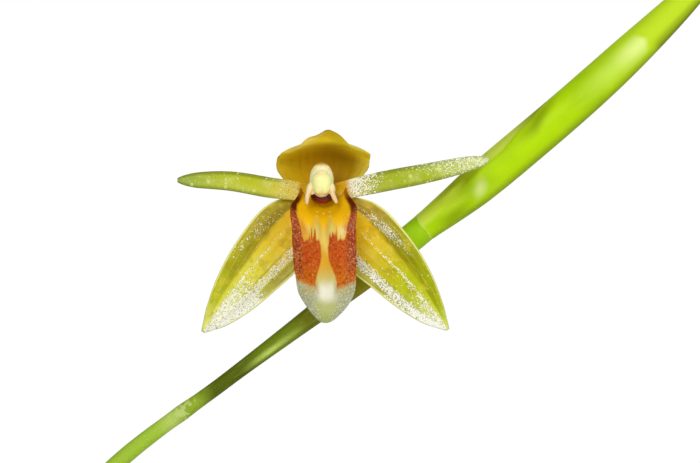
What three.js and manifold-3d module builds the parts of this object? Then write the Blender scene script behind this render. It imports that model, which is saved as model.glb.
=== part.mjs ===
// A small epiphytic orchid in a clay pot, in bloom: furrowed pseudobulbs on a creeping rhizome, strap
// leaves in pairs, and one slender scape that leans out to the right with an open flower and, above
// it, the buds still wrapped in their bracts. Millimetres, +Z up, the flower faces -Y, and the origin
// is the middle of the pot's flat base.
import * as THREE from "three";
import { mergeVertices } from "three/addons/utils/BufferGeometryUtils.js";
import Module from "manifold-3d";

const wasm = await Module();
wasm.setup();

// Driving dimensions

const gap = 0.3; // between neighbours that touch on the plant
const fineGap = 0.14; // the same round the anther
const bladeThickness = 0.6;
const bladeEdge = 0.7; // a blade's thickness at its margins, as a share of the middle's

const pot = {
  height: 58,
  baseRadius: 22.5,
  bodyTopRadius: 30.6,
  rimRadius: 33,
  rimHeight: 11,
  wall: 3.6,
  floor: 4.5,
  edge: 0.8, // rounding of the edges
  holes: 3,
  holeRadius: 3.2,
  holeRing: 12,
  segments: 36,
};

const bark = {
  levelAtWall: 47.5,
  levelInMiddle: 49.5,
  shoulder: 14, // the radius where the domed top starts to fall to the wall
  clearOfRim: 2,
  chips: 34,
  reach: 22.5, // how far from the axis a chip's middle lies
  length: [8, 14],
  width: [5, 9],
  height: [2.6, 4.2],
  rise: [0.2, 1.4], // how far a chip's middle stands above the fill
  tilt: 0.38,
  seed: 20261,
};

const rhizome = { radius: 1.9, level: 50.6, ringDepth: 0.2, rings: 9, sides: 8 };

// One row for each pseudobulb, oldest first: where it stands, its height, radius and lean
const bulbs = [
  { x: -18.0, y: 7.4, height: 18, radius: 3.7, lean: [-2.4, 0.8] },
  { x: -9.6, y: 1.8, height: 21.5, radius: 4.0, lean: [-1.4, -1.0] },
  { x: -1.2, y: 7.2, height: 24, radius: 4.2, lean: [-0.4, 1.6] },
  { x: 5.4, y: -1.2, height: 26, radius: 4.4, lean: [0.3, -1.0] },
  { x: 14.5, y: -4.0, height: 8, radius: 2.1, lean: [0.1, 0] },
];
const grownBulbs = 4; // the last one belongs to the new shoot
const bulbBase = 51.2;
const furrows = 8;
const furrowDepth = 0.09;
const bulbShape = through([0, 0.62], [0.12, 0.86], [0.34, 1], [0.6, 0.86], [0.85, 0.5], [1, 0.3]);

// One row for each leaf: its pseudobulb, the compass direction that it arches to (0 is +X, in
// degrees), length, widest half width, lean from the vertical at its foot and at its tip, the share
// of its length that is stalk, and how far its foot stands from the pseudobulb's axis
const leaves = [
  { bulb: 0, towards: 178, length: 68, half: 5.0, lean: [14, 98], stalk: 0.1, foot: 1.3, twist: 8 },
  { bulb: 1, towards: 238, length: 88, half: 5.8, lean: [12, 92], stalk: 0.1, foot: 1.4, twist: -8 },
  { bulb: 1, towards: 122, length: 92, half: 5.8, lean: [9, 76], stalk: 0.1, foot: 1.4, twist: 8 },
  { bulb: 2, towards: 118, length: 104, half: 6.3, lean: [7, 70], stalk: 0.1, foot: 1.4, twist: 8 },
  { bulb: 2, towards: 251, length: 96, half: 6.2, lean: [7, 78], stalk: 0.14, foot: 1.4, twist: -8 },
  { bulb: 3, towards: 282, length: 98, half: 6.3, lean: [12, 96], stalk: 0.1, foot: 1.4, twist: 8 },
  { bulb: 3, towards: 90, length: 100, half: 6.2, lean: [14, 100], stalk: 0.1, foot: 1.4, twist: -8 },
  { bulb: 4, towards: 335, length: 58, half: 3.8, lean: [1, 66], stalk: 0.32, foot: 1.6, twist: 0 },
  { bulb: 4, towards: 160, length: 34, half: 2.4, lean: [1, 14], stalk: 0.46, foot: 1.6, twist: 0 },
];
const stalkHalf = 0.95;

// The two sheaths of the new shoot: their radius inside and how high each reaches, as a share
const shoot = { height: 24, innerRadius: 2.5, innerTop: 0.66, outerRadius: 3.4, outerTop: 0.4 };

// The middle of the flower, where sepals, petals, lip and column meet
const flowerAt = [43, -6, 135];

// The scape's route, up to the ring where the bracts begin, and its radius along it
const scapeRoute = [
  [14.5, -4.0, 60.0],
  [14.7, -4.0, 72.0],
  [15.6, -3.8, 85.0],
  [18.0, -3.4, 97.6],
  [22.4, -3.0, 108.6],
  [28.4, -2.6, 116.1],
  [36.3, -1.9, 122.2],
  [41.1, -1.5, 125.8],
  [45.6, -1.1, 129.2],
  [49.9, -0.7, 132.7],
];
const scapeRadius = through([0, 0.72], [0.55, 0.55], [0.82, 0.52], [0.9, 0.64], [1, 0.98]);

// The wrapped buds above the ring: their route, their radius, and how far the outer bract's free
// margin stands proud of the one that it wraps
const budRoute = [
  [50.15, -0.68, 132.9],
  [52.0, -0.5, 134.4],
  [56.1, -0.2, 137.7],
  [60.8, 0.0, 141.6],
  [64.8, 0.1, 145.2],
  [68.5, 0.1, 148.7],
  [71.6, 0.0, 152.1],
];
const budRadius = through([0, 1.0], [0.1, 1.2], [0.28, 1.36], [0.55, 1.32], [0.68, 1.2], [0.84, 0.86],
  [1, 0.12]);
const bractMargin = through([0, 0.02], [0.12, 0.12], [0.3, 0.2], [0.6, 0.16], [0.74, 0.0], [1, 0]);
const bractMarginAngle = 2.2;

const antherCentre = [-0.07, -2.75, 0.66];
const antherSize = [0.6, 0.55, 0.8];

// Shared helpers

// A smooth value along an organ, through [place, value] stops
function through(...stops) {
  const last = stops.length - 1;
  const slopeAt = (i) => {
    const before = stops[Math.max(0, i - 1)];
    const after = stops[Math.min(last, i + 1)];
    return (after[1] - before[1]) / (after[0] - before[0]);
  };
  return (t) => {
    const next = stops.findIndex(([place]) => place > t);
    const i = next < 0 ? last : Math.max(1, next);
    const [start, end] = [stops[i - 1], stops[i]];
    const span = end[0] - start[0];
    const u = THREE.MathUtils.clamp((t - start[0]) / span, 0, 1);
    const rise = u * u * (3 - 2 * u);
    const leaving = span * slopeAt(i - 1) * u * (1 - u) * (1 - u);
    const arriving = span * slopeAt(i) * u * u * (1 - u);
    return start[1] + (end[1] - start[1]) * rise + leaving - arriving;
  };
}

function curveThrough(points) {
  const stops = points.map((point) => new THREE.Vector3(...point));
  return new THREE.CatmullRomCurve3(stops, false, "centripetal");
}

// Numbers from 0 to 1 in a fixed order
function seeded(seed) {
  let state = seed;
  return () => {
    state = (state * 1664525 + 1013904223) % 4294967296;
    return state / 4294967296;
  };
}

// The point, direction, sideways and face-on directions at a place along a curve
function frameAt(curve, t, sideHint, twist = 0) {
  const along = curve.getTangentAt(t);
  const side = sideHint.clone().addScaledVector(along, -sideHint.dot(along)).normalize();
  side.applyAxisAngle(along, twist);
  return { at: curve.getPointAt(t), along, side, out: new THREE.Vector3().crossVectors(side, along) };
}

const sideways = new THREE.Vector3(1, 0, 0);
const backwards = new THREE.Vector3(0, 1, 0);

// A round solid along a curve, whose radius follows place and angle, grown all round if asked
function stem(curve, radius, { rings, sides, sideHint = backwards, grow = 0 }) {
  const geometry = new THREE.CylinderGeometry(1, 1, 1, sides, rings);
  const position = geometry.attributes.position;
  const vertex = new THREE.Vector3();
  for (let i = 0; i < position.count; i++) {
    vertex.fromBufferAttribute(position, i);
    const t = THREE.MathUtils.clamp(vertex.y + 0.5, 0, 1);
    const { at, along, side, out } = frameAt(curve, t, sideHint);
    const size = radius(t, Math.atan2(vertex.x, vertex.z)) + grow;
    at.addScaledVector(side, vertex.x * size).addScaledVector(out, vertex.z * size);
    if (t === 0 || t === 1) at.addScaledVector(along, (2 * t - 1) * grow);
    position.setXYZ(i, at.x, at.y, at.z);
  }
  return geometry;
}

// The middle surface of a blade, row by row: s runs from -1 to 1 across it and t from 0 to 1 along it
function bladeSurface({ curve, sideHint, half, rows, columns, curl, lift, twist }) {
  const points = [];
  for (let i = 0; i <= rows; i++) {
    const t = i / rows;
    const { at, side, out } = frameAt(curve, t, sideHint, twist(t));
    const angle = curl(t) || 1e-6;
    const bendRadius = half(t) / angle;
    for (let j = 0; j <= columns; j++) {
      const s = (2 * j) / columns - 1;
      const across = bendRadius * Math.sin(angle * s);
      const rise = bendRadius * (1 - Math.cos(angle * s)) + lift(t, s);
      points.push(at.clone().addScaledVector(side, across).addScaledVector(out, rise));
    }
  }
  return points;
}

// The triangles of a closed blade: two skins, split alike, and the rim that joins them
function bladeIndex(rows, columns) {
  const across = columns + 1;
  const skin = (rows + 1) * across;
  const index = [];
  const quad = (a, b, c, d) => index.push(a, b, c, a, c, d);
  for (let i = 0; i < rows; i++) {
    for (let j = 0; j < columns; j++) {
      const [near, far] = [i * across + j, (i + 1) * across + j];
      index.push(near, near + 1, far + 1, near, far + 1, far);
      index.push(skin + near, skin + far + 1, skin + near + 1, skin + near, skin + far, skin + far + 1);
    }
    const [near, far] = [i * across, (i + 1) * across];
    quad(near, far, skin + far, skin + near);
    quad(near + columns, skin + near + columns, skin + far + columns, far + columns);
  }
  for (let j = 0; j < columns; j++) {
    const end = rows * across + j;
    quad(j, skin + j, skin + j + 1, j + 1);
    quad(end, end + 1, skin + end + 1, skin + end);
  }
  return index;
}

// A thin closed blade: leaf, sepal, petal or lip. curl is the half angle of its arched section, and
// lift a further rise of its face.
function blade({ curve, sideHint, half, rows, columns, curl = () => 0, lift = () => 0, twist = () => 0 }) {
  const middle = bladeSurface({ curve, sideHint, half, rows, columns, curl, lift, twist });
  const within = (value, most) => THREE.MathUtils.clamp(value, 0, most);
  const at = (i, j) => middle[within(i, rows) * (columns + 1) + within(j, columns)];
  const upper = [];
  const lower = [];
  for (let i = 0; i <= rows; i++) {
    for (let j = 0; j <= columns; j++) {
      const alongRow = at(i, j + 1).clone().sub(at(i, j - 1));
      const alongColumn = at(i + 1, j).clone().sub(at(i - 1, j));
      const normal = alongRow.cross(alongColumn).normalize();
      const s = (2 * j) / columns - 1;
      const depth = (bladeThickness / 2) * (1 - (1 - bladeEdge) * s ** 4);
      upper.push(...at(i, j).clone().addScaledVector(normal, depth).toArray());
      lower.push(...at(i, j).clone().addScaledVector(normal, -depth).toArray());
    }
  }
  const geometry = new THREE.BufferGeometry();
  geometry.setAttribute("position", new THREE.Float32BufferAttribute([...upper, ...lower], 3));
  geometry.setIndex(bladeIndex(rows, columns));
  return geometry;
}

// An open-ended sheath round a curve: a thin ring wall whose top edge follows the angle
function cuff(curve, innerRadius, top, { sides, rows }) {
  const positions = [];
  const index = [];
  const stations = 2 * (rows + 1);
  for (let j = 0; j < sides; j++) {
    const angle = (2 * Math.PI * j) / sides;
    for (let k = 0; k < stations; k++) {
      const outside = k <= rows;
      const step = outside ? k : stations - 1 - k;
      const t = (top(angle) * step) / rows;
      const { at, side, out } = frameAt(curve, t, backwards);
      const size = innerRadius(t) + (outside ? bladeThickness : 0);
      at.addScaledVector(out, size * Math.cos(angle)).addScaledVector(side, size * Math.sin(angle));
      positions.push(...at.toArray());
    }
  }
  for (let j = 0; j < sides; j++) {
    const [here, next] = [j * stations, ((j + 1) % sides) * stations];
    for (let k = 0; k < stations; k++) {
      const above = (k + 1) % stations;
      index.push(here + k, next + above, here + above, here + k, next + k, next + above);
    }
  }
  const geometry = new THREE.BufferGeometry();
  geometry.setAttribute("position", new THREE.Float32BufferAttribute(positions, 3));
  geometry.setIndex(index);
  return geometry;
}

// A solid of revolution about +Z from [radius, height] points
function turned(profile, segments) {
  const outline = profile.map(([radius, height]) => new THREE.Vector2(radius, height));
  return new THREE.LatheGeometry(outline, segments).rotateX(Math.PI / 2);
}

function uprightCylinder(radius, height, sides) {
  return new THREE.CylinderGeometry(radius, radius, height, sides).rotateX(Math.PI / 2);
}

// From geometry to a solid that can be cut and joined, and back

function solidOf(geometry) {
  const bare = geometry.clone();
  bare.deleteAttribute("normal");
  bare.deleteAttribute("uv");
  const merged = mergeVertices(bare, 1e-4);
  return new wasm.Manifold(new wasm.Mesh({
    numProp: 3,
    vertProperties: new Float32Array(merged.attributes.position.array),
    triVerts: new Uint32Array(merged.index.array),
  }));
}

// The largest body of a solid: loose scraps of a cut are dropped
function geometryOf(solid) {
  const largest = solid.decompose().reduce((a, b) => (b.volume() > a.volume() ? b : a));
  const mesh = largest.getMesh();
  const geometry = new THREE.BufferGeometry();
  geometry.setAttribute("position", new THREE.BufferAttribute(new Float32Array(mesh.vertProperties), 3));
  geometry.setIndex(new THREE.BufferAttribute(new Uint32Array(mesh.triVerts), 1));
  return geometry;
}

// Materials

const finish = (color, roughness) => new THREE.MeshStandardMaterial({ color, roughness, metalness: 0 });
const finishes = {
  clay: finish(0xb5663f, 0.85),
  bark: finish(0x6b4429, 0.9),
  rhizome: finish(0x7a6a3c, 0.8),
  root: finish(0xc9c7b4, 0.7),
  bulb: finish(0x7fa03a, 0.45),
  oldBulb: finish(0x8f9440, 0.5),
  drySheath: finish(0xb59a6c, 0.8),
  greenSheath: finish(0x8fae3c, 0.5),
  leaf: finish(0x4f8a2c, 0.4),
  youngLeaf: finish(0x7fb13a, 0.4),
  scape: finish(0x7d9a2c, 0.4),
  bract: finish(0xb4d62a, 0.35),
  sepal: finish(0xc4bc38, 0.35),
  hood: finish(0xb08a14, 0.4),
  petal: finish(0xbcc44a, 0.35),
  lip: finish(0xc4632c, 0.4),
  column: finish(0xe8cc8c, 0.4),
  anther: finish(0xf8f49a, 0.35),
};

function addTo(group, name, geometry, material) {
  const mesh = new THREE.Mesh(geometry, material.clone());
  mesh.name = name;
  group.add(mesh);
}

// The pot: a tapered body with a thicker rim band, hollow, with drain holes round its middle

function insideRadius(z) {
  return THREE.MathUtils.lerp(pot.baseRadius, pot.bodyTopRadius, z / pot.height) - pot.wall;
}

function clayPot() {
  const { edge, height, rimRadius, floor, wall } = pot;
  const rimFoot = height - pot.rimHeight;
  const outsideRadius = (z) => insideRadius(z) + wall;
  const profile = [
    [0, 0],
    [pot.baseRadius - edge, 0],
    [outsideRadius(edge), edge],
    [outsideRadius(rimFoot), rimFoot],
    [rimRadius - edge, rimFoot],
    [rimRadius, rimFoot + edge],
    [rimRadius, height - edge],
    [rimRadius - edge, height],
    [insideRadius(height) + edge, height],
    [insideRadius(height - edge), height - edge],
    [insideRadius(floor + edge), floor + edge],
    [insideRadius(floor) - edge, floor],
    [0, floor],
  ];
  let body = solidOf(turned(profile, pot.segments));
  for (let i = 0; i < pot.holes; i++) {
    const angle = Math.PI / 2 + (2 * Math.PI * i) / pot.holes;
    const drill = uprightCylinder(pot.holeRadius, 4 * floor, 16);
    drill.translate(pot.holeRing * Math.cos(angle), pot.holeRing * Math.sin(angle), 0);
    body = body.subtract(solidOf(drill));
  }
  return geometryOf(body);
}

// Pseudobulbs, in the frame of their own foot: furrowed, widest below the middle, leaning a little

function bulbAxis({ height, lean }) {
  return curveThrough([
    [0, 0, 0],
    [0.3 * lean[0], 0.3 * lean[1], 0.5 * height],
    [lean[0], lean[1], height],
  ]);
}

function pseudobulb(bulb) {
  const furrowed = (t, angle) => {
    const furrow = Math.sin(Math.PI * t) * Math.cos(0.5 * furrows * angle) ** 2;
    return bulb.radius * bulbShape(t) * (1 - furrowDepth * furrow);
  };
  return stem(bulbAxis(bulb), furrowed, { rings: 9, sides: 2 * furrows });
}

// Dry sheath left at a pseudobulb's foot, with a torn edge
function drySheath(bulb, number) {
  const torn = (angle) => 0.3 + 0.09 * Math.cos(angle + number)
    + 0.05 * Math.cos(3 * angle + 2 * number) + 0.04 * Math.cos(5 * angle);
  const inner = (t) => bulb.radius * bulbShape(t) + gap;
  return cuff(bulbAxis(bulb), inner, torn, { sides: 16, rows: 3 });
}

// The clear space that a pseudobulb and its sheaths stand in
function bulbSocket(bulb) {
  const sway = 0.12 * Math.hypot(...bulb.lean);
  const widest = bulb === bulbs[grownBulbs] ? shoot.outerRadius : bulb.radius + sway;
  const hole = uprightCylinder(widest + bladeThickness + 3 * gap, bulb.height, 16);
  return solidOf(hole.translate(bulb.x, bulb.y, bulbBase - 2 * gap + bulb.height / 2));
}

// The creeping rhizome runs under every pseudobulb and carries a ring at each joint

function rhizomeSolid(grow) {
  const [first, last] = [bulbs[0], bulbs[grownBulbs]];
  const route = curveThrough([
    [first.x - 4.5, first.y + 1.8, rhizome.level - 0.6],
    ...bulbs.map(({ x, y }) => [x, y, rhizome.level]),
    [last.x + 3.2, last.y - 0.8, rhizome.level - 0.3],
  ]);
  const ringed = (t) => rhizome.radius * (0.8 + 0.2 * Math.sin(Math.PI * t))
    + rhizome.ringDepth * Math.cos(2 * Math.PI * rhizome.rings * t);
  return solidOf(stem(route, ringed, { rings: 4 * rhizome.rings, sides: rhizome.sides, grow }));
}

// Roots: the first hangs over the rim, the others creep over the bark and dive into it

const rootRoutes = [
  [[-14.6, 0.4, 50.2], [-17.4, -4.4, 51.6], [-20.2, -9.0, 56.6], [-23.4, -12.6, 60.0], [-27.4, -15.8, 60.3],
    [-29.9, -17.5, 57.4], [-30.3, -17.8, 51.0], [-30.1, -17.6, 44.0], [-29.5, -17.2, 37.0]],
  [[-1.0, -4.6, 50.4], [-1.2, -9.2, 51.2], [-3.2, -13.8, 51.8], [-4.2, -18.4, 51.2], [-4.4, -21.2, 47.6]],
  [[10.2, -8.0, 50.4], [11.6, -11.6, 51.4], [13.4, -15.0, 51.2], [14.4, -17.4, 48.2]],
  [[-6.6, 13.4, 50.2], [-8.4, 16.4, 51.2], [-8.6, 19.6, 50.8], [-8.4, 21.8, 47.6]],
];
const rootRadius = through([0, 1.0], [0.6, 0.95], [0.9, 0.85], [1, 0.35]);

function rootSolid(route, grow) {
  const sideHint = new THREE.Vector3(0.4, 0.9, 0.2);
  return solidOf(stem(curveThrough(route), rootRadius, { rings: 14, sides: 6, sideHint, grow }));
}

// Bark: a fill in the pot with loose chips fused into its top

function barkChip(random) {
  const between = ([low, high]) => THREE.MathUtils.lerp(low, high, random());
  const chip = new THREE.BoxGeometry(between(bark.length), between(bark.width), between(bark.height));
  const position = chip.attributes.position;
  const nudges = new Map();
  for (let i = 0; i < position.count; i++) {
    const corner = [position.getX(i), position.getY(i), position.getZ(i)];
    const key = corner.map(Math.sign).join();
    if (!nudges.has(key)) nudges.set(key, corner.map(() => between([0.72, 1.14])));
    position.setXYZ(i, ...corner.map((value, axis) => value * nudges.get(key)[axis]));
  }
  chip.rotateX(between([-bark.tilt, bark.tilt]));
  chip.rotateY(between([-bark.tilt, bark.tilt]));
  return chip.rotateZ(2 * Math.PI * random());
}

function pottingBark() {
  const random = seeded(bark.seed);
  const bottom = pot.floor + gap;
  const wallAt = (z) => insideRadius(z) - gap;
  const fillRadius = wallAt(bark.levelAtWall);
  const levelAt = (r) => THREE.MathUtils.lerp(bark.levelInMiddle, bark.levelAtWall, (r / fillRadius) ** 2);
  const fill = turned([
    [0, bottom],
    [wallAt(bottom) - pot.edge, bottom],
    [wallAt(bottom + pot.edge), bottom + pot.edge],
    [fillRadius, bark.levelAtWall],
    [bark.shoulder, levelAt(bark.shoulder)],
    [0, bark.levelInMiddle],
  ], 32);
  let solid = solidOf(fill);
  const goldenAngle = Math.PI * (3 - Math.sqrt(5));
  for (let i = 0; i < bark.chips; i++) {
    const radius = bark.reach * Math.sqrt((i + 0.5) / bark.chips);
    const angle = i * goldenAngle + 0.4 * random();
    const level = levelAt(radius) + THREE.MathUtils.lerp(...bark.rise, random());
    const chip = barkChip(random).translate(radius * Math.cos(angle), radius * Math.sin(angle), level);
    solid = solid.add(solidOf(chip));
  }
  const top = pot.height - bark.clearOfRim;
  solid = solid.intersect(solidOf(turned([[0, 0], [wallAt(0), 0], [wallAt(top), top], [0, top]], 32)));
  for (const bulb of bulbs) solid = solid.subtract(bulbSocket(bulb));
  solid = solid.subtract(rhizomeSolid(gap));
  for (const route of rootRoutes) solid = solid.subtract(rootSolid(route, gap));
  return geometryOf(solid);
}

// Leaves: a channelled stalk that widens to a strap with a V-shaped section and a pointed tip

function archedCurve(start, towards, length, [leanAtFoot, leanAtTip]) {
  const steps = 8;
  const radians = THREE.MathUtils.degToRad;
  const points = [start];
  for (let i = 0; i < steps; i++) {
    const lean = radians(THREE.MathUtils.lerp(leanAtFoot, leanAtTip, ((i + 0.5) / steps) ** 1.3));
    const step = new THREE.Vector3(Math.cos(radians(towards)), Math.sin(radians(towards)), 0);
    step.multiplyScalar(Math.sin(lean)).setZ(Math.cos(lean)).multiplyScalar(length / steps);
    points.push(points[i].clone().add(step));
  }
  return new THREE.CatmullRomCurve3(points);
}

function leaf({ bulb, towards, length, half, lean, stalk, foot, twist }) {
  const radians = THREE.MathUtils.degToRad(towards);
  const out = new THREE.Vector3(Math.cos(radians), Math.sin(radians), 0);
  const start = bulbAxis(bulbs[bulb]).getPointAt(1).addScaledVector(out, foot);
  start.z += 2 * gap;
  const bladePart = (t) => Math.max(0, (Math.min(t, 0.9999) - stalk) / (1 - stalk));
  const width = (t) => stalkHalf * (1 - 0.85 * t) + half * Math.sin(Math.PI * bladePart(t) ** 0.82) ** 0.9;
  const fold = through([0, 0.75], [0.14, 0.7], [0.4, 0.3], [1, 0.12]);
  const waveHeight = 0.06 * half;
  const wave = (t, s) => waveHeight * Math.sin(5 * Math.PI * t + 2 * s) * s * s * Math.min(1, 4 * t);
  return blade({
    curve: archedCurve(start, towards, length, lean),
    sideHint: new THREE.Vector3(out.y, -out.x, 0),
    half: width,
    rows: 14,
    columns: 4,
    twist: (t) => THREE.MathUtils.degToRad(twist) * t * t,
    lift: (t, s) => fold(t) * width(t) * Math.abs(s) + wave(t, s),
  });
}

// The new shoot's sheaths, one inside the other round the foot of the scape
function shootSheath(innerRadius, height, pointAngle) {
  const axis = curveThrough([
    [0, 0, 0],
    [0.05, 0, 0.5 * shoot.height],
    [0.2, 0, shoot.height],
  ]);
  const pointed = (angle) => height * (0.72 + 0.28 * (0.5 + 0.5 * Math.cos(angle - pointAngle)) ** 2);
  return cuff(axis, () => innerRadius, pointed, { sides: 14, rows: 5 });
}

function wrappedBuds() {
  const radius = (t, angle) => {
    const turn = THREE.MathUtils.euclideanModulo((angle - bractMarginAngle) / (2 * Math.PI), 1);
    return budRadius(t) * (1 + bractMargin(t) * (0.5 - turn));
  };
  return stem(curveThrough(budRoute), radius, { rings: 22, sides: 14 });
}

// The flower's pieces, in the flower's own frame

const petalRoutes = {
  left: [[-1.35, -0.1, 0.1], [-3.4, -0.15, 0.32], [-6.2, 0.1, 0.74], [-9.68, 0.8, 0.75]],
  right: [[1.35, -0.1, 0.12], [3.9, -0.2, 0.72], [7.2, 0.1, 1.38], [11.1, 0.9, 2.3]],
};

function petal(route, upOrDown) {
  return blade({
    curve: curveThrough(route),
    sideHint: new THREE.Vector3(0, 0, upOrDown),
    half: through([0, 0.62], [0.25, 0.7], [0.6, 0.66], [0.85, 0.48], [1, 0.08]),
    rows: 12,
    columns: 4,
    curl: () => 0.5,
  });
}

function lateralSepal(mirror, [tipAcross, tipHeight]) {
  return blade({
    curve: curveThrough([
      [mirror * 1.0, 0.75, -0.75],
      [mirror * 2.3, 0.55, -2.55],
      [mirror * 4.7, 0.1, -5.3],
      [mirror * 7.0, 0.1, -8.15],
      [mirror * tipAcross, 0.3, tipHeight],
    ]),
    sideHint: new THREE.Vector3(-0.76, 0, 0.65 * -mirror),
    half: through([0, 0.75], [0.12, 1.8], [0.3, 2.25], [0.5, 2.02], [0.7, 1.5], [0.87, 0.82], [1, 0.1]),
    rows: 14,
    columns: 6,
    curl: () => 0.55,
    lift: (t, s) => 0.12 * Math.sin(Math.PI * t) * Math.cos(3 * Math.PI * s),
  });
}

// The hood rises behind the column, arches forward over it and turns up at its tip
function dorsalSepal() {
  return blade({
    curve: curveThrough([
      [0.0, 1.1, 0.35], [0.02, 1.3, 1.5], [0.06, 1.05, 2.35], [0.1, 0.2, 2.95], [0.15, -1.1, 3.1],
      [0.2, -2.15, 3.3], [0.22, -2.55, 4.12],
    ]),
    sideHint: sideways,
    half: through([0, 1.9], [0.12, 2.75], [0.25, 3.3], [0.38, 3.5], [0.52, 3.45], [0.68, 3.05],
      [0.82, 2.3], [0.92, 1.35], [1, 0.1]),
    rows: 14,
    columns: 10,
    curl: through([0, 0.5], [0.12, 0.72], [0.25, 0.9], [0.38, 0.88], [0.52, 0.8], [0.68, 0.62],
      [0.82, 0.4], [1, 0.1]),
  });
}

// The lip: a hollowed foot with raised sides, two short keels, then a tongue that hangs down
function lip() {
  const keels = (t, s) => 0.3 * Math.exp(-(((Math.abs(s) - 0.24) / 0.14) ** 2) - ((t - 0.33) / 0.07) ** 2);
  const channel = (t, s) => 0.16 * Math.sin(Math.PI * t) * Math.exp(-((s / 0.2) ** 2));
  return blade({
    curve: curveThrough([
      [0.05, -0.5, -1.05], [0.05, -1.5, -1.5], [0.06, -2.4, -2.0], [0.07, -2.95, -3.0],
      [0.1, -3.1, -4.7], [0.2, -2.85, -6.7], [0.27, -2.35, -8.67],
    ]),
    sideHint: sideways.clone().negate(),
    half: through([0, 1.25], [0.1, 1.85], [0.2, 2.3], [0.36, 2.35], [0.62, 2.25], [0.76, 1.95],
      [0.87, 1.4], [0.95, 0.75], [1, 0.2]),
    rows: 16,
    columns: 10,
    curl: through([0, 1.0], [0.15, 0.8], [0.3, 0.3], [0.5, -0.35], [0.8, -0.4], [1, -0.1]),
    lift: (t, s) => keels(t, s) - channel(t, s),
  });
}

function ellipsoid(centre, halfSizes, grow = 0) {
  const sizes = halfSizes.map((half) => half + grow);
  return new THREE.SphereGeometry(1, 12, 8).scale(...sizes).translate(...centre);
}

// The column leans forward under the hood, widens to a helmet with two arms, and holds the anther
function column() {
  const shaftRoute = curveThrough([
    [0, 0.2, 0.1], [-0.03, -0.8, 0.55], [-0.06, -1.7, 0.85], [-0.08, -2.3, 0.95],
  ]);
  const shaftRadius = through([0, 0.5], [0.5, 0.56], [1, 0.74]);
  const helmet = ellipsoid([-0.08, -2.2, 1.0], [0.82, 0.75, 0.97]);
  let solid = solidOf(stem(shaftRoute, shaftRadius, { rings: 6, sides: 12, sideHint: sideways }));
  solid = solid.add(solidOf(helmet));
  for (const mirror of [-1, 1]) {
    const armRoute = curveThrough([
      [mirror * 0.6 - 0.08, -2.1, 0.7],
      [mirror * 0.92 - 0.08, -2.5, 0.1],
      [mirror * 0.93 - 0.08, -2.75, -0.85],
    ]);
    const armRadius = through([0, 0.36], [0.6, 0.24], [1, 0.16]);
    solid = solid.add(solidOf(stem(armRoute, armRadius, { rings: 5, sides: 8, sideHint: sideways })));
  }
  return geometryOf(solid.subtract(solidOf(ellipsoid(antherCentre, antherSize, fineGap))));
}

// The ribbed ovary on its stalk, from the scape to the back of the flower
function ovary() {
  const route = curveThrough([
    [4.5, 3.55, -4.1], [3.3, 3.3, -3.1], [1.5, 2.9, -1.3], [0.25, 2.1, -0.35], [0, 1.75, -0.2],
  ]);
  const thickness = through([0, 0.42], [0.3, 0.5], [0.65, 0.72], [1, 0.6]);
  const ribbed = (t, angle) => thickness(t) * (1 + 0.09 * Math.cos(3 * (angle + 1.2 * t)));
  return stem(route, ribbed, { rings: 14, sides: 12 });
}

// Assembly

const pottedOrchid = new THREE.Group();
addTo(pottedOrchid, "pot", clayPot(), finishes.clay);
addTo(pottedOrchid, "potting_bark", pottingBark(), finishes.bark);

const clearedRhizome = bulbs.reduce((solid, bulb) => solid.subtract(bulbSocket(bulb)), rhizomeSolid(0));
addTo(pottedOrchid, "rhizome", geometryOf(clearedRhizome), finishes.rhizome);
rootRoutes.forEach((route, i) => {
  const clearOfRhizome = rootSolid(route, 0).subtract(rhizomeSolid(gap));
  addTo(pottedOrchid, `root_${i + 1}`, geometryOf(clearOfRhizome), finishes.root);
});

// Each growth stands on the rhizome: a pseudobulb, the sheath at its foot and the leaves on its top
bulbs.forEach((bulb, i) => {
  const growth = new THREE.Group();
  growth.position.set(bulb.x, bulb.y, bulbBase);
  addTo(growth, `pseudobulb_${i + 1}`, pseudobulb(bulb), i < 2 ? finishes.oldBulb : finishes.bulb);
  if (i < grownBulbs) {
    addTo(growth, `dry_sheath_${i + 1}`, drySheath(bulb, i), finishes.drySheath);
  } else {
    const inner = shootSheath(shoot.innerRadius, shoot.innerTop, 0.4);
    const outer = shootSheath(shoot.outerRadius, shoot.outerTop, 3.5);
    addTo(growth, "shoot_sheath_inner", inner, finishes.greenSheath);
    addTo(growth, "shoot_sheath_outer", outer, finishes.greenSheath);
  }
  leaves.forEach((row, number) => {
    const material = i < grownBulbs ? finishes.leaf : finishes.youngLeaf;
    if (row.bulb === i) addTo(growth, `leaf_${number + 1}`, leaf(row), material);
  });
  pottedOrchid.add(growth);
});

const scape = stem(curveThrough(scapeRoute), scapeRadius, { rings: 40, sides: 8 });
addTo(pottedOrchid, "scape", scape, finishes.scape);
addTo(pottedOrchid, "bud_bracts", wrappedBuds(), finishes.bract);

const flower = new THREE.Group();
flower.position.set(...flowerAt);
addTo(flower, "ovary", ovary(), finishes.scape);
addTo(flower, "dorsal_sepal", dorsalSepal(), finishes.hood);
addTo(flower, "lateral_sepal_left", lateralSepal(-1, [8.0, -9.27]), finishes.sepal);
addTo(flower, "lateral_sepal_right", lateralSepal(1, [8.25, -9.15]), finishes.sepal);
addTo(flower, "petal_left", petal(petalRoutes.left, 1), finishes.petal);
addTo(flower, "petal_right", petal(petalRoutes.right, -1), finishes.petal);
addTo(flower, "lip", lip(), finishes.lip);
addTo(flower, "column", column(), finishes.column);
addTo(flower, "anther", ellipsoid(antherCentre, antherSize), finishes.anther);
pottedOrchid.add(flower);

export default pottedOrchid;
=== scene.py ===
# The finish of a small potted orchid in bloom: its pot and bark, pseudobulbs, leaves, the leaning scape
# and the open flower, with the camera close before the flower. Lengths here are millimetres until a
# point goes into a mesh, which holds metres in the frame of the CAD solids.
import bisect
import math
import random

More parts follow.
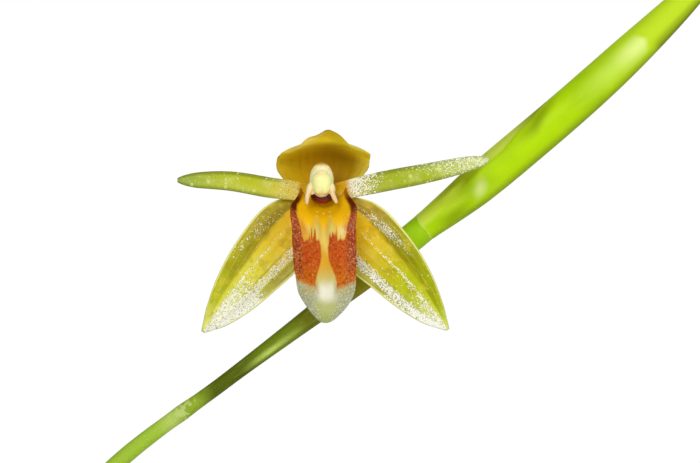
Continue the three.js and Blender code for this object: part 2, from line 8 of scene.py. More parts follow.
import bpy
from mathutils import Matrix, Vector, noise
from mathutils.bvhtree import BVHTree


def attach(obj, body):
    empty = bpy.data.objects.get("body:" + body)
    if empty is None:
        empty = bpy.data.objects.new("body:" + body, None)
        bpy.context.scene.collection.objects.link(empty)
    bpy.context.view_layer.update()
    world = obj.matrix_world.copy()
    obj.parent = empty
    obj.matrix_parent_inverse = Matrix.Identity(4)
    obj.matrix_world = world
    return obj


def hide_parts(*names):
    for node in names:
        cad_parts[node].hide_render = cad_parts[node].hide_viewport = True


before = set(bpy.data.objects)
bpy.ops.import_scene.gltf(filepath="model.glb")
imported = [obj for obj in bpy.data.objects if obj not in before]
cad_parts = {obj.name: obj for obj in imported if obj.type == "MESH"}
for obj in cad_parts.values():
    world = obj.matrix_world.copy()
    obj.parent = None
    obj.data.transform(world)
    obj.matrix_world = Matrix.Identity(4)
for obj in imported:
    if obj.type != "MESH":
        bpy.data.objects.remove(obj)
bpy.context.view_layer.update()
mm = 0.001
print("stage: frame loaded")


# Curves and smooth values


# A smooth value along an organ, through (place, value) stops
def through(*stops):
    def slopeAt(i):
        before, after = stops[max(0, i - 1)], stops[min(len(stops) - 1, i + 1)]
        return (after[1] - before[1]) / (after[0] - before[0])

    def value(t):
        above = [k for k, stop in enumerate(stops) if stop[0] > t]
        i = max(1, above[0]) if above else len(stops) - 1
        start, end = stops[i - 1], stops[i]
        span = end[0] - start[0]
        u = min(1, max(0, (t - start[0]) / span))
        rise = u * u * (3 - 2 * u)
        leaving = span * slopeAt(i - 1) * u * (1 - u) ** 2
        arriving = span * slopeAt(i) * u * u * (1 - u)
        return start[1] + (end[1] - start[1]) * rise + leaving - arriving

    return value


def softStep(low, high, x):
    u = min(1, max(0, (x - low) / (high - low)))
    return u * u * (3 - 2 * u)


# A smooth route through points, measured by its own length from 0 to 1
class Route:
    finePoints = 40  # between two given points

    def __init__(self, points):
        stops = [Vector(point) for point in points]
        stops = [2 * stops[0] - stops[1], *stops, 2 * stops[-1] - stops[-2]]
        self.points = []
        for i in range(len(stops) - 3):
            self.addSpan(*stops[i:i + 4])
        self.points.append(stops[-2])
        self.reach = [0]
        for before, after in zip(self.points, self.points[1:]):
            self.reach.append(self.reach[-1] + (after - before).length)
        self.length = self.reach[-1]

    def addSpan(self, before, start, end, after):
        steps = ((before, start), (start, end), (end, after))
        gaps = [max(1e-4, math.sqrt((b - a).length)) for a, b in steps]
        leaving = (start - before) / gaps[0] - (end - before) / (gaps[0] + gaps[1]) + (end - start) / gaps[1]
        arriving = (end - start) / gaps[1] - (after - start) / (gaps[1] + gaps[2]) + (after - end) / gaps[2]
        leaving, arriving = leaving * gaps[1], arriving * gaps[1]
        for k in range(self.finePoints):
            u = k / self.finePoints
            self.points.append(
                start * (2 * u**3 - 3 * u**2 + 1) + leaving * (u**3 - 2 * u**2 + u)
                + end * (3 * u**2 - 2 * u**3) + arriving * (u**3 - u**2)
            )

    def at(self, t):
        goal = min(1, max(0, t)) * self.length
        i = min(len(self.points) - 2, max(0, bisect.bisect_right(self.reach, goal) - 1))
        share = (goal - self.reach[i]) / max(1e-9, self.reach[i + 1] - self.reach[i])
        return self.points[i].lerp(self.points[i + 1], share)

    # The point at a place on the route and its directions along, sideways and face on
    def frame(self, t, sideHint, twist=0):
        along = (self.at(min(1, t + 0.004)) - self.at(max(0, t - 0.004))).normalized()
        side = (sideHint - sideHint.dot(along) * along).normalized()
        if twist:
            side = Matrix.Rotation(twist, 3, along) @ side
        return self.at(t), along, side, side.cross(along)


# Making and finishing pieces

backwards = Vector((0, 1, 0))
sideways = Vector((1, 0, 0))


def selectOnly(piece):
    bpy.ops.object.select_all(action="DESELECT")
    piece.select_set(True)
    bpy.context.view_layer.objects.active = piece


# Runs edit-mode operators on a piece, all of it selected
def inEditMode(piece, *steps):
    selectOnly(piece)
    bpy.ops.object.mode_set(mode="EDIT")
    bpy.ops.mesh.select_all(action="SELECT")
    for operator, settings in steps:
        operator(**settings)
    bpy.ops.object.mode_set(mode="OBJECT")


def modify(piece, kind, **settings):
    modifier = piece.modifiers.new(kind.title(), kind)
    for name, value in settings.items():
        setattr(modifier, name, value)
    selectOnly(piece)
    bpy.ops.object.modifier_apply(modifier=modifier.name)


def smooth(piece):
    modify(piece, "SUBSURF", levels=1, render_levels=1)


def mergeDoubles(piece):
    inEditMode(piece, (bpy.ops.mesh.remove_doubles, {"threshold": 1e-6}))


# A flat grid whose every point goes where place(s, t) says: s runs from -1 to 1 across and t from 0 to 1
def mappedGrid(name, grid, place):
    bpy.ops.object.select_all(action="DESELECT")
    bpy.ops.mesh.primitive_grid_add(x_subdivisions=grid[0], y_subdivisions=grid[1], size=2)
    piece = bpy.context.active_object
    piece.name = name
    for vertex in piece.data.vertices:
        vertex.co = place(vertex.co.x, (vertex.co.y + 1) / 2) * mm
    return piece


marginShare = 0.4  # a blade's thickness at its margins, as a share of the middle's

# A thin closed blade along a route: leaf, sepal, petal or lip. half is its half width, grid its columns
# and rows, curl the half angle of its arched section and lift a further rise of its face.
def bladeAlong(name, route, sideHint, half, grid, thickness, curl=None, lift=None, twist=None):
    columns = grid[0]
    frames = {}

    def place(s, t):
        if t not in frames:
            frames[t] = route.frame(t, sideHint, twist(t) if twist else 0)
        at, along, side, out = frames[t]
        width = half(t, s)
        angle = (curl(t) if curl else 0) or 1e-6
        bend = width / angle
        rise = bend * (1 - math.cos(angle * s)) + (lift(t, s) if lift else 0)
        return at + side * (bend * math.sin(angle * s)) + out * rise

    piece = mappedGrid(name, grid, place)
    body = piece.vertex_groups.new(name="body")
    for vertex in piece.data.vertices:
        across = abs(vertex.index % (columns + 1) * 2 / columns - 1)
        body.add([vertex.index], 1 - (1 - marginShare) * across**4, "REPLACE")
    modify(piece, "SOLIDIFY", thickness=thickness * mm, offset=0, vertex_group="body", use_rim=True)
    smooth(piece)
    return piece


# A round closed stem along a route, whose radius follows place and angle
def stemAlong(name, route, radius, grid, sideHint=backwards):
    sides, rows = grid
    frames = {}

    def place(s, t):
        station = min(1, max(0, (t * (rows + 2) - 1) / rows))  # the first and last rows close the ends
        if station not in frames:
            frames[station] = route.frame(station, sideHint)
        at, along, side, out = frames[station]
        closed = t < 0.5 / (rows + 2) or t > 1 - 0.5 / (rows + 2)
        angle = (s + 1) * math.pi
        size = 0 if closed else radius(station, angle)
        return at + (side * math.sin(angle) + out * math.cos(angle)) * size

    piece = mappedGrid(name, (sides, rows + 2), place)
    mergeDoubles(piece)
    smooth(piece)
    return piece


# An open sheath round a route, from top(angle) down to the foot, which gets a thin wall
def cuffAlong(name, route, radius, top, grid, wall):
    def place(s, t):
        angle = (s + 1) * math.pi
        at, along, side, out = route.frame(top(angle) * t, backwards)
        return at + (side * math.sin(angle) + out * math.cos(angle)) * radius(top(angle) * t, angle)

    piece = mappedGrid(name, grid, place)
    mergeDoubles(piece)
    modify(piece, "SOLIDIFY", thickness=wall * mm, offset=1)
    smooth(piece)
    return piece


# A merged copy of a CAD solid's mesh, to be refined
def copyOf(node, name):
    piece = bpy.data.objects.new(name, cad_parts[node].data.copy())
    bpy.context.collection.objects.link(piece)
    mergeDoubles(piece)
    return piece


def joined(name, pieces):
    bpy.ops.object.select_all(action="DESELECT")
    for piece in pieces:
        piece.select_set(True)
    bpy.context.view_layer.objects.active = pieces[0]
    bpy.ops.object.join()
    pieces[0].name = name
    return pieces[0]


def dress(piece, finish, slot, *nodes):
    piece.data.materials.clear()
    piece.data.materials.append(finish.material)
    for polygon in piece.data.polygons:
        polygon.use_smooth = True
    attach(piece, "root")
    if nodes:
        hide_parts(*nodes)
    print("stage:", piece.name, "with", len(piece.data.polygons), "faces")
    return piece


# Finishes


# A colour as a paint chart gives it, from 0 to 255, in the renderer's own scale
def paint(red, green, blue):
    def linear(value):
        value = value / 255
        return value / 12.92 if value < 0.04045 else ((value + 0.055) / 1.055) ** 2.4

    return linear(red), linear(green), linear(blue), 1


# One value on a finish's node tree, which sums and products extend
class Value:
    def __init__(self, finish, socket):
        self.finish = finish
        self.socket = socket

    def math(self, operation, *values):
        return self.finish.node("ShaderNodeMath", {"operation": operation}, dict(enumerate(values)))

    def __add__(self, other):
        return self.math("ADD", self, other)

    def __sub__(self, other):
        return self.math("SUBTRACT", self, other)

    def __rsub__(self, other):
        return self.math("SUBTRACT", other, self)

    def __mul__(self, other):
        return self.math("MULTIPLY", self, other)

    def __truediv__(self, other):
        return self.math("DIVIDE", self, other)

    def __abs__(self):
        return self.math("ABSOLUTE", self)

    __radd__ = __add__
    __rmul__ = __mul__

    def fraction(self):
        return self.math("FRACT", self)

    # 0 below low and 1 above high, with a soft step between; the other way round if low is the higher
    def between(self, low, high):
        stepped = {"interpolation_type": "SMOOTHSTEP"}
        return self.finish.node("ShaderNodeMapRange", stepped, {0: self, 1: low, 2: high})

    # 1 near a place and 0 further from it than reach
    def near(self, centre, reach):
        return abs(self - centre).between(reach, 0)

    def other(self, output):
        return Value(self.finish, self.socket.node.outputs[output])


class Finish:
    def __init__(self, name, constants):
        self.material = bpy.data.materials.new(name)
        self.material.use_nodes = True
        self.tree = self.material.node_tree
        self.shader = next(node for node in self.tree.nodes if node.type == "BSDF_PRINCIPLED")
        for socket, value in constants.items():
            self.shader.inputs[socket].default_value = value

    def node(self, kind, settings=None, sockets=None, output=0):
        added = self.tree.nodes.new(kind)
        for setting, value in (settings or {}).items():
            if setting == "stops":
                self.setStops(added.color_ramp.elements, value)
            else:
                setattr(added, setting, value)
        for socket, value in (sockets or {}).items():
            if isinstance(value, Value):
                self.tree.links.new(value.socket, added.inputs[socket])
            else:
                added.inputs[socket].default_value = value
        return Value(self, added.outputs[output])

    def setStops(self, elements, stops):
        for place, _ in stops[2:]:
            elements.new(place)
        for element, (place, colour) in zip(elements, stops):
            element.position = place
            element.color = colour

    # Places across and along a piece that has its own map, from 0 to 1
    def surface(self):
        across = self.node("ShaderNodeSeparateXYZ", {}, {0: self.node("ShaderNodeTexCoord", output="UV")})
        return across, across.other("Y")

    def place(self):
        return self.node("ShaderNodeTexCoord", output="Object")

    # Millimetres above the surface that the pot stands on
    def height(self):
        return self.node("ShaderNodeSeparateXYZ", {}, {0: self.place()}).other("Z") / mm

    # Places drawn out by a factor on each axis
    def scaled(self, *factors):
        return self.node("ShaderNodeVectorMath", {"operation": "MULTIPLY"}, {0: self.place(), 1: factors})

    def stretched(self, x, y, z=0):
        return self.node("ShaderNodeCombineXYZ", {}, {0: x, 1: y, 2: z})

    def clouds(self, scale, where=None, detail=3, roughness=0.5):
        sockets = {"Vector": where or self.place(), "Scale": scale, "Detail": detail, "Roughness": roughness}
        return self.node("ShaderNodeTexNoise", {}, sockets)

    # Small cells: how far each point is from its cell's middle; other("Color") is each cell's own draw
    def cells(self, scale):
        return self.node("ShaderNodeTexVoronoi", {}, {"Vector": self.place(), "Scale": scale})

    # Tiny cells, of which a share picked by lot is marked
    def flecks(self, scale, share, lot=0):
        draw = self.node("ShaderNodeSeparateXYZ", {}, {0: self.cells(scale).other("Color")}, lot)
        return (draw + share).between(0.98, 1.02)

    # Round dots in some of the cells
    def dots(self, scale, share, size=0.45):
        cell = self.cells(scale)
        draw = self.node("ShaderNodeSeparateXYZ", {}, {0: cell.other("Color")})
        return draw.between(1 - share, 1 - 0.6 * share) * cell.between(size, 0.4 * size)

    def ramp(self, value, *stops):
        return self.node("ShaderNodeValToRGB", {"stops": stops}, {0: value})

    def mix(self, share, first, second):
        return self.node("ShaderNodeMix", {"data_type": "RGBA"}, {0: share, 6: first, 7: second}, output=2)

    def relief(self, height, depth, strength=1):
        sockets = {"Strength": strength, "Distance": depth * mm, "Height": height}
        return self.give("Normal", self.node("ShaderNodeBump", {}, sockets))

    def give(self, socket, value):
        self.tree.links.new(value.socket, self.shader.inputs[socket])
        return self


# Fresh plant tissue: a little light goes through it, and it has a thin wet sheen
def tissue(name, roughness=0.4, coat=0.3, glow=0.12):
    return Finish(name, {
        "Roughness": roughness,
        "IOR": 1.4,
        "Specular IOR Level": 0.14,
        "Coat Weight": coat,
        "Coat Roughness": 0.2,
        "Subsurface Weight": glow,
        "Subsurface Radius": (0.9, 0.7, 0.3),
        "Subsurface Scale": 0.8 * mm,
    })


# The pot: a tapered body with a thicker rim band and three drain holes

pot = {
    "height": 58,
    "baseRadius": 22.5,
    "bodyTopRadius": 30.6,
    "rimRadius": 33,
    "rimHeight": 11,
    "wall": 3.6,
    "floor": 4.5,
    "edge": 0.8,
    "holes": 3,
    "holeRadius": 3.2,
    "holeRing": 12,
    "segments": 128,
    "fired": paint(186, 104, 66),
    "pale": paint(208, 138, 98),
    "dark": paint(128, 66, 42),
    "lime": paint(222, 208, 190),
    "algae": paint(104, 112, 62),
}


def insideRadius(z):
    return pot["baseRadius"] + (pot["bodyTopRadius"] - pot["baseRadius"]) * z / pot["height"] - pot["wall"]


def clayFinish():
    finish = Finish("fired clay", {"Roughness": 0.85, "Specular IOR Level": 0.3})
    height = finish.height() / pot["height"]
    patches = finish.clouds(55, detail=6, roughness=0.6)
    grit = finish.clouds(1400, detail=2)
    turning = finish.clouds(1, finish.scaled(30, 30, 900), detail=2)
    colour = finish.mix(patches.between(0.35, 0.7), pot["fired"], pot["pale"])
    colour = finish.mix(turning.between(0.5, 0.8) * 0.35, colour, pot["dark"])
    colour = finish.mix(grit.between(0.62, 0.75) * 0.5, colour, pot["dark"])
    damp = (height + patches * 0.35).between(0.42, 0.2)
    colour = finish.mix(damp * 0.5, colour, pot["dark"])
    crust = finish.clouds(130, detail=8, roughness=0.7)
    limeEdge = (height + crust * 0.3 - 0.15).near(0.34, 0.13) * crust.between(0.48, 0.62)
    limeRim = (height + crust * 0.1 - 0.05).between(0.9, 1.0) * crust.between(0.45, 0.65)
    colour = finish.mix(limeEdge * 0.75, colour, pot["lime"])
    colour = finish.mix(limeRim * 0.6, colour, pot["lime"])
    green = finish.clouds(90, detail=5).between(0.52, 0.68) * (height + crust * 0.2).near(0.83, 0.22)
    colour = finish.mix(green * 0.55, colour, pot["algae"])
    finish.give("Base Color", colour)
    finish.give("Roughness", 0.9 - damp * 0.2)
    return finish.relief(grit * 0.5 + turning * 0.8 + crust * 0.6, 0.18, 0.6)


# One ring after another is extruded from a circle, as the profile goes out, up, in and down
def clayPot():
    edge, height, floor, wall = pot["edge"], pot["height"], pot["floor"], pot["wall"]
    rimFoot = height - pot["rimHeight"]
    profile = [
        (insideRadius(0) + wall, 0),
        (insideRadius(rimFoot) + wall, rimFoot),
        (pot["rimRadius"], rimFoot),
        (pot["rimRadius"], height),
        (insideRadius(height), height),
        (insideRadius(floor), floor),
    ]
    bpy.ops.object.select_all(action="DESELECT")
    bpy.ops.mesh.primitive_circle_add(vertices=pot["segments"], radius=profile[0][0] * mm, fill_type="NGON")
    piece = bpy.context.active_object
    piece.name = "clay_pot"
    bpy.ops.object.mode_set(mode="EDIT")
    bpy.ops.mesh.select_all(action="SELECT")
    for (radius, z), (nextRadius, nextZ) in zip(profile, profile[1:]):
        bpy.ops.mesh.extrude_region_move(TRANSFORM_OT_translate={"value": (0, 0, (nextZ - z) * mm)})
        share = nextRadius / radius
        bpy.ops.transform.resize(value=(share, share, 1))
    bpy.ops.object.mode_set(mode="OBJECT")
    inEditMode(piece, (bpy.ops.mesh.normals_make_consistent, {"inside": False}))
    for i in range(pot["holes"]):
        angle = math.pi / 2 + 2 * math.pi * i / pot["holes"]
        middle = Vector((math.cos(angle), math.sin(angle), 0)) * pot["holeRing"] * mm
        bpy.ops.object.select_all(action="DESELECT")
        bpy.ops.mesh.primitive_cylinder_add(vertices=40, radius=pot["holeRadius"] * mm, depth=4 * floor * mm,
                                            location=middle)
        drill = bpy.context.active_object
        modify(piece, "BOOLEAN", object=drill, operation="DIFFERENCE", solver="EXACT")
        bpy.data.objects.remove(drill)
    modify(piece, "BEVEL", width=edge * mm, segments=4, limit_method="ANGLE", angle_limit=math.radians(35))
    dress(piece, clayFinish(), "clay", "pot")
    bpy.ops.object.shade_smooth_by_angle(angle=math.radians(40))
    return piece


# The potting bark: the fused fill, roughened at its top, with small loose crumbs between its chips

bark = {
    "voxel": 0.6,
    "roughen": 0.35,
    "roughFrom": 42,  # below this height the fill stays smooth
    "roughTo": 46,  # and above this one it is roughened in full
    "crumbs": 110,
    "crumbSize": (2.2, 5.0),
    "reach": 26,
    "rimClearance": 1.2,
    "seed": 71,
    "brown": paint(112, 74, 45),
    "red": paint(138, 84, 50),
    "pale": paint(176, 132, 88),
    "dark": paint(52, 34, 24),
    "moss": paint(98, 112, 44),
}


def barkFinish():
    finish = Finish("conifer bark", {"Roughness": 0.9, "Specular IOR Level": 0.25})
    chip = finish.cells(150)
    draw = finish.node("ShaderNodeSeparateXYZ", {}, {0: chip.other("Color")})
    grain = finish.clouds(1, finish.scaled(260, 1500, 1500), detail=5, roughness=0.65)
    rough = finish.clouds(700, detail=5)
    colour = finish.mix(draw.between(0.2, 0.8), bark["brown"], bark["red"])
    colour = finish.mix(grain.between(0.4, 0.62), bark["dark"], colour)
    colour = finish.mix(rough.between(0.56, 0.72) * 0.7, colour, bark["pale"])
    colour = finish.mix(finish.clouds(95, detail=4).between(0.56, 0.7) * rough * 0.9, colour, bark["moss"])
    finish.give("Base Color", colour)
    return finish.relief(grain + rough * 0.7, 0.5, 0.8)


def barkCrumb(draw, number):
    bpy.ops.object.select_all(action="DESELECT")
    bpy.ops.mesh.primitive_cube_add(size=1)
    crumb = bpy.context.active_object
    inEditMode(crumb, (bpy.ops.mesh.subdivide, {"number_cuts": 2, "smoothness": 0.35}))
    length = draw.uniform(*bark["crumbSize"])
    size = Vector((length, length * draw.uniform(0.45, 0.75), length * draw.uniform(0.25, 0.45)))
    for vertex in crumb.data.vertices:
        ragged = 1 + 0.35 * noise.noise(vertex.co * 2.2 + Vector((number, 0, 0)))
        vertex.co = Vector((vertex.co.x * size.x, vertex.co.y * size.y, vertex.co.z * size.z)) * ragged * mm
    return crumb


def pottingBark(clearOf):
    piece = copyOf("potting_bark", "bark_fill")
    modify(piece, "REMESH", mode="VOXEL", voxel_size=bark["voxel"] * mm)
    moved = []
    for vertex in piece.data.vertices:
        at = vertex.co / mm
        swell = 0.7 * noise.noise(at * 0.45) + 0.3 * noise.noise(at * 1.3)
        depth = swell * softStep(bark["roughFrom"], bark["roughTo"], at.z) * bark["roughen"] * mm
        moved.extend(vertex.co + vertex.normal * depth)
    piece.data.vertices.foreach_set("co", moved)
    piece.data.update()
    dress(piece, barkFinish(), "bark", "potting_bark")
    surface = BVHTree.FromObject(piece, bpy.context.evaluated_depsgraph_get())
    draw = random.Random(bark["seed"])
    crumbs = []
    while len(crumbs) < bark["crumbs"]:
        radius, angle = bark["reach"] * math.sqrt(draw.random()), 2 * math.pi * draw.random()
        spot = Vector((radius * math.cos(angle), radius * math.sin(angle), 0))
        if any((spot - Vector((x, y, 0))).length < clearance for x, y, clearance in clearOf):
            continue
        hit, normal, _, _ = surface.ray_cast((spot + Vector((0, 0, 90))) * mm, (0, 0, -1))
        if hit is None or hit.z > (pot["height"] - bark["rimClearance"]) * mm:
            continue
        crumb = barkCrumb(draw, len(crumbs))
        turn = normal.to_track_quat("Z", "Y").to_matrix() @ Matrix.Rotation(draw.uniform(0, 6.28), 3, "Z")
        for vertex in crumb.data.vertices:
            vertex.co = hit + turn @ vertex.co
        crumbs.append(crumb)
    return dress(joined("bark_crumbs", crumbs), barkFinish(), "bark")


# Rhizome, roots, pseudobulbs and sheaths

rhizome = {
    "radius": 1.9,
    "level": 50.6,
    "ringDepth": 0.2,
    "rings": 9,
    "grid": (24, 120),
    "tan": paint(150, 128, 78),
    "green": paint(128, 138, 66),
    "brown": paint(92, 66, 40),
}

# One row for each pseudobulb, oldest first: where it stands, its height, radius and lean
bulbs = [
    {"x": -18.0, "y": 7.4, "height": 18, "radius": 3.7, "lean": (-2.4, 0.8)},
    {"x": -9.6, "y": 1.8, "height": 21.5, "radius": 4.0, "lean": (-1.4, -1.0)},
    {"x": -1.2, "y": 7.2, "height": 24, "radius": 4.2, "lean": (-0.4, 1.6)},
    {"x": 5.4, "y": -1.2, "height": 26, "radius": 4.4, "lean": (0.3, -1.0)},
    {"x": 14.5, "y": -4.0, "height": 8, "radius": 2.1, "lean": (0.1, 0)},
]
grownBulbs = 4
oldBulbs = 2  # the first ones, wrinkled and yellowed
bulb = {
    "base": 51.2,
    "furrows": 8,
    "furrowDepth": 0.09,
    "shape": through((0, 0.62), (0.12, 0.86), (0.34, 1), (0.6, 0.86), (0.85, 0.5), (1, 0.3)),
    "grid": (96, 24),
    "fresh": paint(120, 160, 56),
    "freshPale": paint(164, 188, 84),
    "old": paint(142, 146, 66),
    "oldPale": paint(176, 160, 88),
    "brown": paint(118, 92, 48),
}


def bulbRoute(row):
    foot = Vector((row["x"], row["y"], bulb["base"]))
    lean = Vector((*row["lean"], 0))
    height = Vector((0, 0, row["height"]))
    return Route([foot, foot + 0.3 * lean + 0.5 * height, foot + lean + height])


def rhizomeFinish():
    finish = Finish("rhizome skin", {"Roughness": 0.7, "Specular IOR Level": 0.35})
    across, along = finish.surface()
    fibre = finish.clouds(1, finish.stretched(across * 30, along * 60), detail=4)
    ring = (along * rhizome["rings"]).fraction().near(0.5, 0.12)
    colour = finish.mix(fibre.between(0.35, 0.65), rhizome["tan"], rhizome["green"])
    colour = finish.mix(ring * 0.8, colour, rhizome["brown"])
    colour = finish.mix(finish.clouds(900, detail=4).between(0.55, 0.7) * 0.6, colour, rhizome["brown"])
    finish.give("Base Color", colour)
    return finish.relief(fibre + ring, 0.15, 0.7)


def creepingRhizome():
    first, last = bulbs[0], bulbs[-1]
    level = rhizome["level"]
    points = [(first["x"] - 4.5, first["y"] + 1.8, level - 0.6)]
    points += [(row["x"], row["y"], level) for row in bulbs]
    points.append((last["x"] + 3.2, last["y"] - 0.8, level - 0.3))

    def ringed(t, angle):
        ring = math.cos(2 * math.pi * rhizome["rings"] * t)
        wrinkle = 0.05 * math.cos(9 * angle + 6 * t)
        thick = rhizome["radius"] * (0.8 + 0.2 * math.sin(math.pi * t))
        return thick + rhizome["ringDepth"] * ring + wrinkle

    piece = stemAlong("creeping_rhizome", Route(points), ringed, rhizome["grid"])
    return dress(piece, rhizomeFinish(), "rhizome", "rhizome")


roots = {
    "routes": [
        [(-14.6, 0.4, 50.2), (-17.4, -4.4, 51.6), (-20.2, -9.0, 56.6), (-23.4, -12.6, 60.0),
         (-27.4, -15.8, 60.3), (-29.9, -17.5, 57.4), (-30.3, -17.8, 51.0), (-30.1, -17.6, 44.0),
         (-29.5, -17.2, 37.0)],
        [(-1.0, -4.6, 50.4), (-1.2, -9.2, 51.2), (-3.2, -13.8, 51.8), (-4.2, -18.4, 51.2),
         (-4.4, -21.2, 47.6)],
        [(10.2, -8.0, 50.4), (11.6, -11.6, 51.4), (13.4, -15.0, 51.2), (14.4, -17.4, 48.2)],
        [(-6.6, 13.4, 50.2), (-8.4, 16.4, 51.2), (-8.6, 19.6, 50.8), (-8.4, 21.8, 47.6)],
    ],
    "radius": through((0, 1.0), (0.6, 0.95), (0.9, 0.85), (1, 0.35)),
    "grid": (16, 90),
    "silver": paint(206, 204, 186),
    "grey": paint(158, 156, 132),
    "green": paint(146, 170, 84),
    "brown": paint(150, 122, 84),
}


def rootFinish():
    finish = Finish("root velamen", {"Roughness": 0.75, "Specular IOR Level": 0.3})
    along = finish.surface()[1]
    skin = finish.clouds(1600, detail=4)
    patches = finish.clouds(240, detail=3)
    colour = finish.mix(patches.between(0.35, 0.65), roots["silver"], roots["grey"])
    colour = finish.mix(skin.between(0.58, 0.72) * 0.6, colour, roots["brown"])
    colour = finish.mix(along.between(0.86, 0.97), colour, roots["green"])
    finish.give("Base Color", colour)
    return finish.relief(skin + patches, 0.12, 0.6)


def rootPieces():
    finish = rootFinish()
    hint = Vector((0.4, 0.9, 0.2))
    for i, points in enumerate(roots["routes"]):
        def knobbly(t, angle):
            lump = noise.noise(Vector((6 * math.cos(angle), 6 * math.sin(angle), 30 * t + 9 * i)) * 0.4)
            return roots["radius"](t) * (1 + 0.08 * lump) * softStep(1.02, 0.97, t)

        piece = stemAlong(f"aerial_root_{i + 1}", Route(points), knobbly, roots["grid"], hint)
        dress(piece, finish, "root", f"root_{i + 1}")


def bulbFinish(name, skin, pale):
    finish = tissue(name, roughness=0.42, coat=0.25)
    across, along = finish.surface()
    fibre = finish.clouds(1, finish.stretched(across * 60, along * 5), detail=4)
    patches = finish.clouds(260, detail=4)
    furrow = (across * bulb["furrows"]).fraction().near(0, 0.3)
    colour = finish.mix(fibre.between(0.35, 0.7), skin, pale)
    colour = finish.mix(patches.between(0.5, 0.75) * 0.5, colour, pale)
    colour = finish.mix(furrow * 0.25, colour, bulb["brown"])
    ends = along.between(0.1, 0.0) * 0.7 + along.between(0.93, 1.0) * 0.6
    colour = finish.mix(ends, colour, bulb["brown"])
    colour = finish.mix(finish.dots(1100, 0.12) * 0.5, colour, bulb["brown"])
    finish.give("Base Color", colour)
    return finish.relief(fibre + patches * 0.4, 0.12, 0.5)


def pseudobulbs():
    fresh = bulbFinish("green pseudobulb", bulb["fresh"], bulb["freshPale"])
    old = bulbFinish("old pseudobulb", bulb["old"], bulb["oldPale"])
    for i, row in enumerate(bulbs):
        def furrowed(t, angle):
            furrow = abs(math.cos(0.5 * bulb["furrows"] * angle)) ** 1.2
            wrinkle = 0.012 * math.cos(31 * angle + 5 * math.sin(3 * t)) if i < oldBulbs else 0.004
            depth = bulb["furrowDepth"] * math.sin(math.pi * t)
            return row["radius"] * bulb["shape"](t) * (1 - depth * furrow - wrinkle)

        piece = stemAlong(f"furrowed_bulb_{i + 1}", bulbRoute(row), furrowed, bulb["grid"])
        if i < oldBulbs:
            dress(piece, old, "old_bulb", f"pseudobulb_{i + 1}")
        else:
            dress(piece, fresh, "bulb", f"pseudobulb_{i + 1}")


sheath = {
    "gap": 0.3,
    "wall": 0.3,
    "dryGrid": (120, 10),
    "greenGrid": (80, 16),
    "nerves": 26,
    "straw": paint(196, 168, 120),
    "brown": paint(132, 98, 60),
    "fibre": paint(226, 206, 166),
    "green": paint(150, 178, 70),
    "greenPale": paint(196, 206, 128),
    "stripe": paint(116, 146, 52),
    "edge": paint(188, 160, 104),
}


def drySheathFinish():
    finish = Finish("dry papery sheath", {"Roughness": 0.75, "Specular IOR Level": 0.3,
                                          "Subsurface Weight": 0.1, "Subsurface Scale": 0.5 * mm})
    across, along = finish.surface()
    fibre = finish.clouds(1, finish.stretched(across * 110, along * 4), detail=5, roughness=0.6)
    stain = finish.clouds(320, detail=4)
    colour = finish.mix(fibre.between(0.35, 0.6), sheath["brown"], sheath["straw"])
    colour = finish.mix(fibre.between(0.62, 0.75) * 0.8, colour, sheath["fibre"])
    browned = stain.between(0.52, 0.7) * 0.7 + along.between(0.85, 1.0) * 0.3
    colour = finish.mix(browned, colour, sheath["brown"])
    finish.give("Base Color", colour)
    return finish.relief(fibre, 0.2, 0.8)


def drySheaths():
    finish = drySheathFinish()
    for i, row in enumerate(bulbs[:grownBulbs]):
        def torn(angle):
            wave = 0.09 * math.cos(angle + i) + 0.05 * math.cos(3 * angle + 2 * i)
            wave += 0.04 * math.cos(5 * angle)
            frayed = 0.05 * noise.noise(Vector((9 * math.cos(angle), 9 * math.sin(angle), i)))
            return 0.3 + wave + frayed + 0.02 * math.cos(37 * angle)

        def papery(t, angle):
            flare = 0.35 * softStep(0.6, 1, t / torn(angle)) * (1 + noise.noise(Vector((4 * angle, i, 0))))
            crease = 0.08 * noise.noise(Vector((14 * math.cos(angle), 14 * math.sin(angle), 8 * t)))
            return row["radius"] * bulb["shape"](t) + sheath["gap"] * 0.6 + flare + crease

        piece = cuffAlong(f"papery_sheath_{i + 1}", bulbRoute(row), papery, torn, sheath["dryGrid"],
                          sheath["wall"])
        dress(piece, finish, "dry_sheath", f"dry_sheath_{i + 1}")


shoot = {"height": 24, "innerRadius": 2.5, "innerTop": 0.66, "outerRadius": 3.4, "outerTop": 0.4}


def greenSheathFinish():
    finish = tissue("green sheath", roughness=0.42, coat=0.25)
    across, along = finish.surface()
    nerve = (across * sheath["nerves"]).fraction().near(0.5, 0.3)
    cloudy = finish.clouds(420, detail=3)
    colour = finish.mix(nerve * 0.55, sheath["green"], sheath["stripe"])
    colour = finish.mix(along.between(0.5, 0.0) * 0.6 + cloudy.between(0.55, 0.8) * 0.3, colour,
                        sheath["greenPale"])
    colour = finish.mix(along.between(0.93, 1.0) * 0.8, colour, sheath["edge"])
    finish.give("Base Color", colour)
    return finish.relief(nerve, 0.05, 0.5)


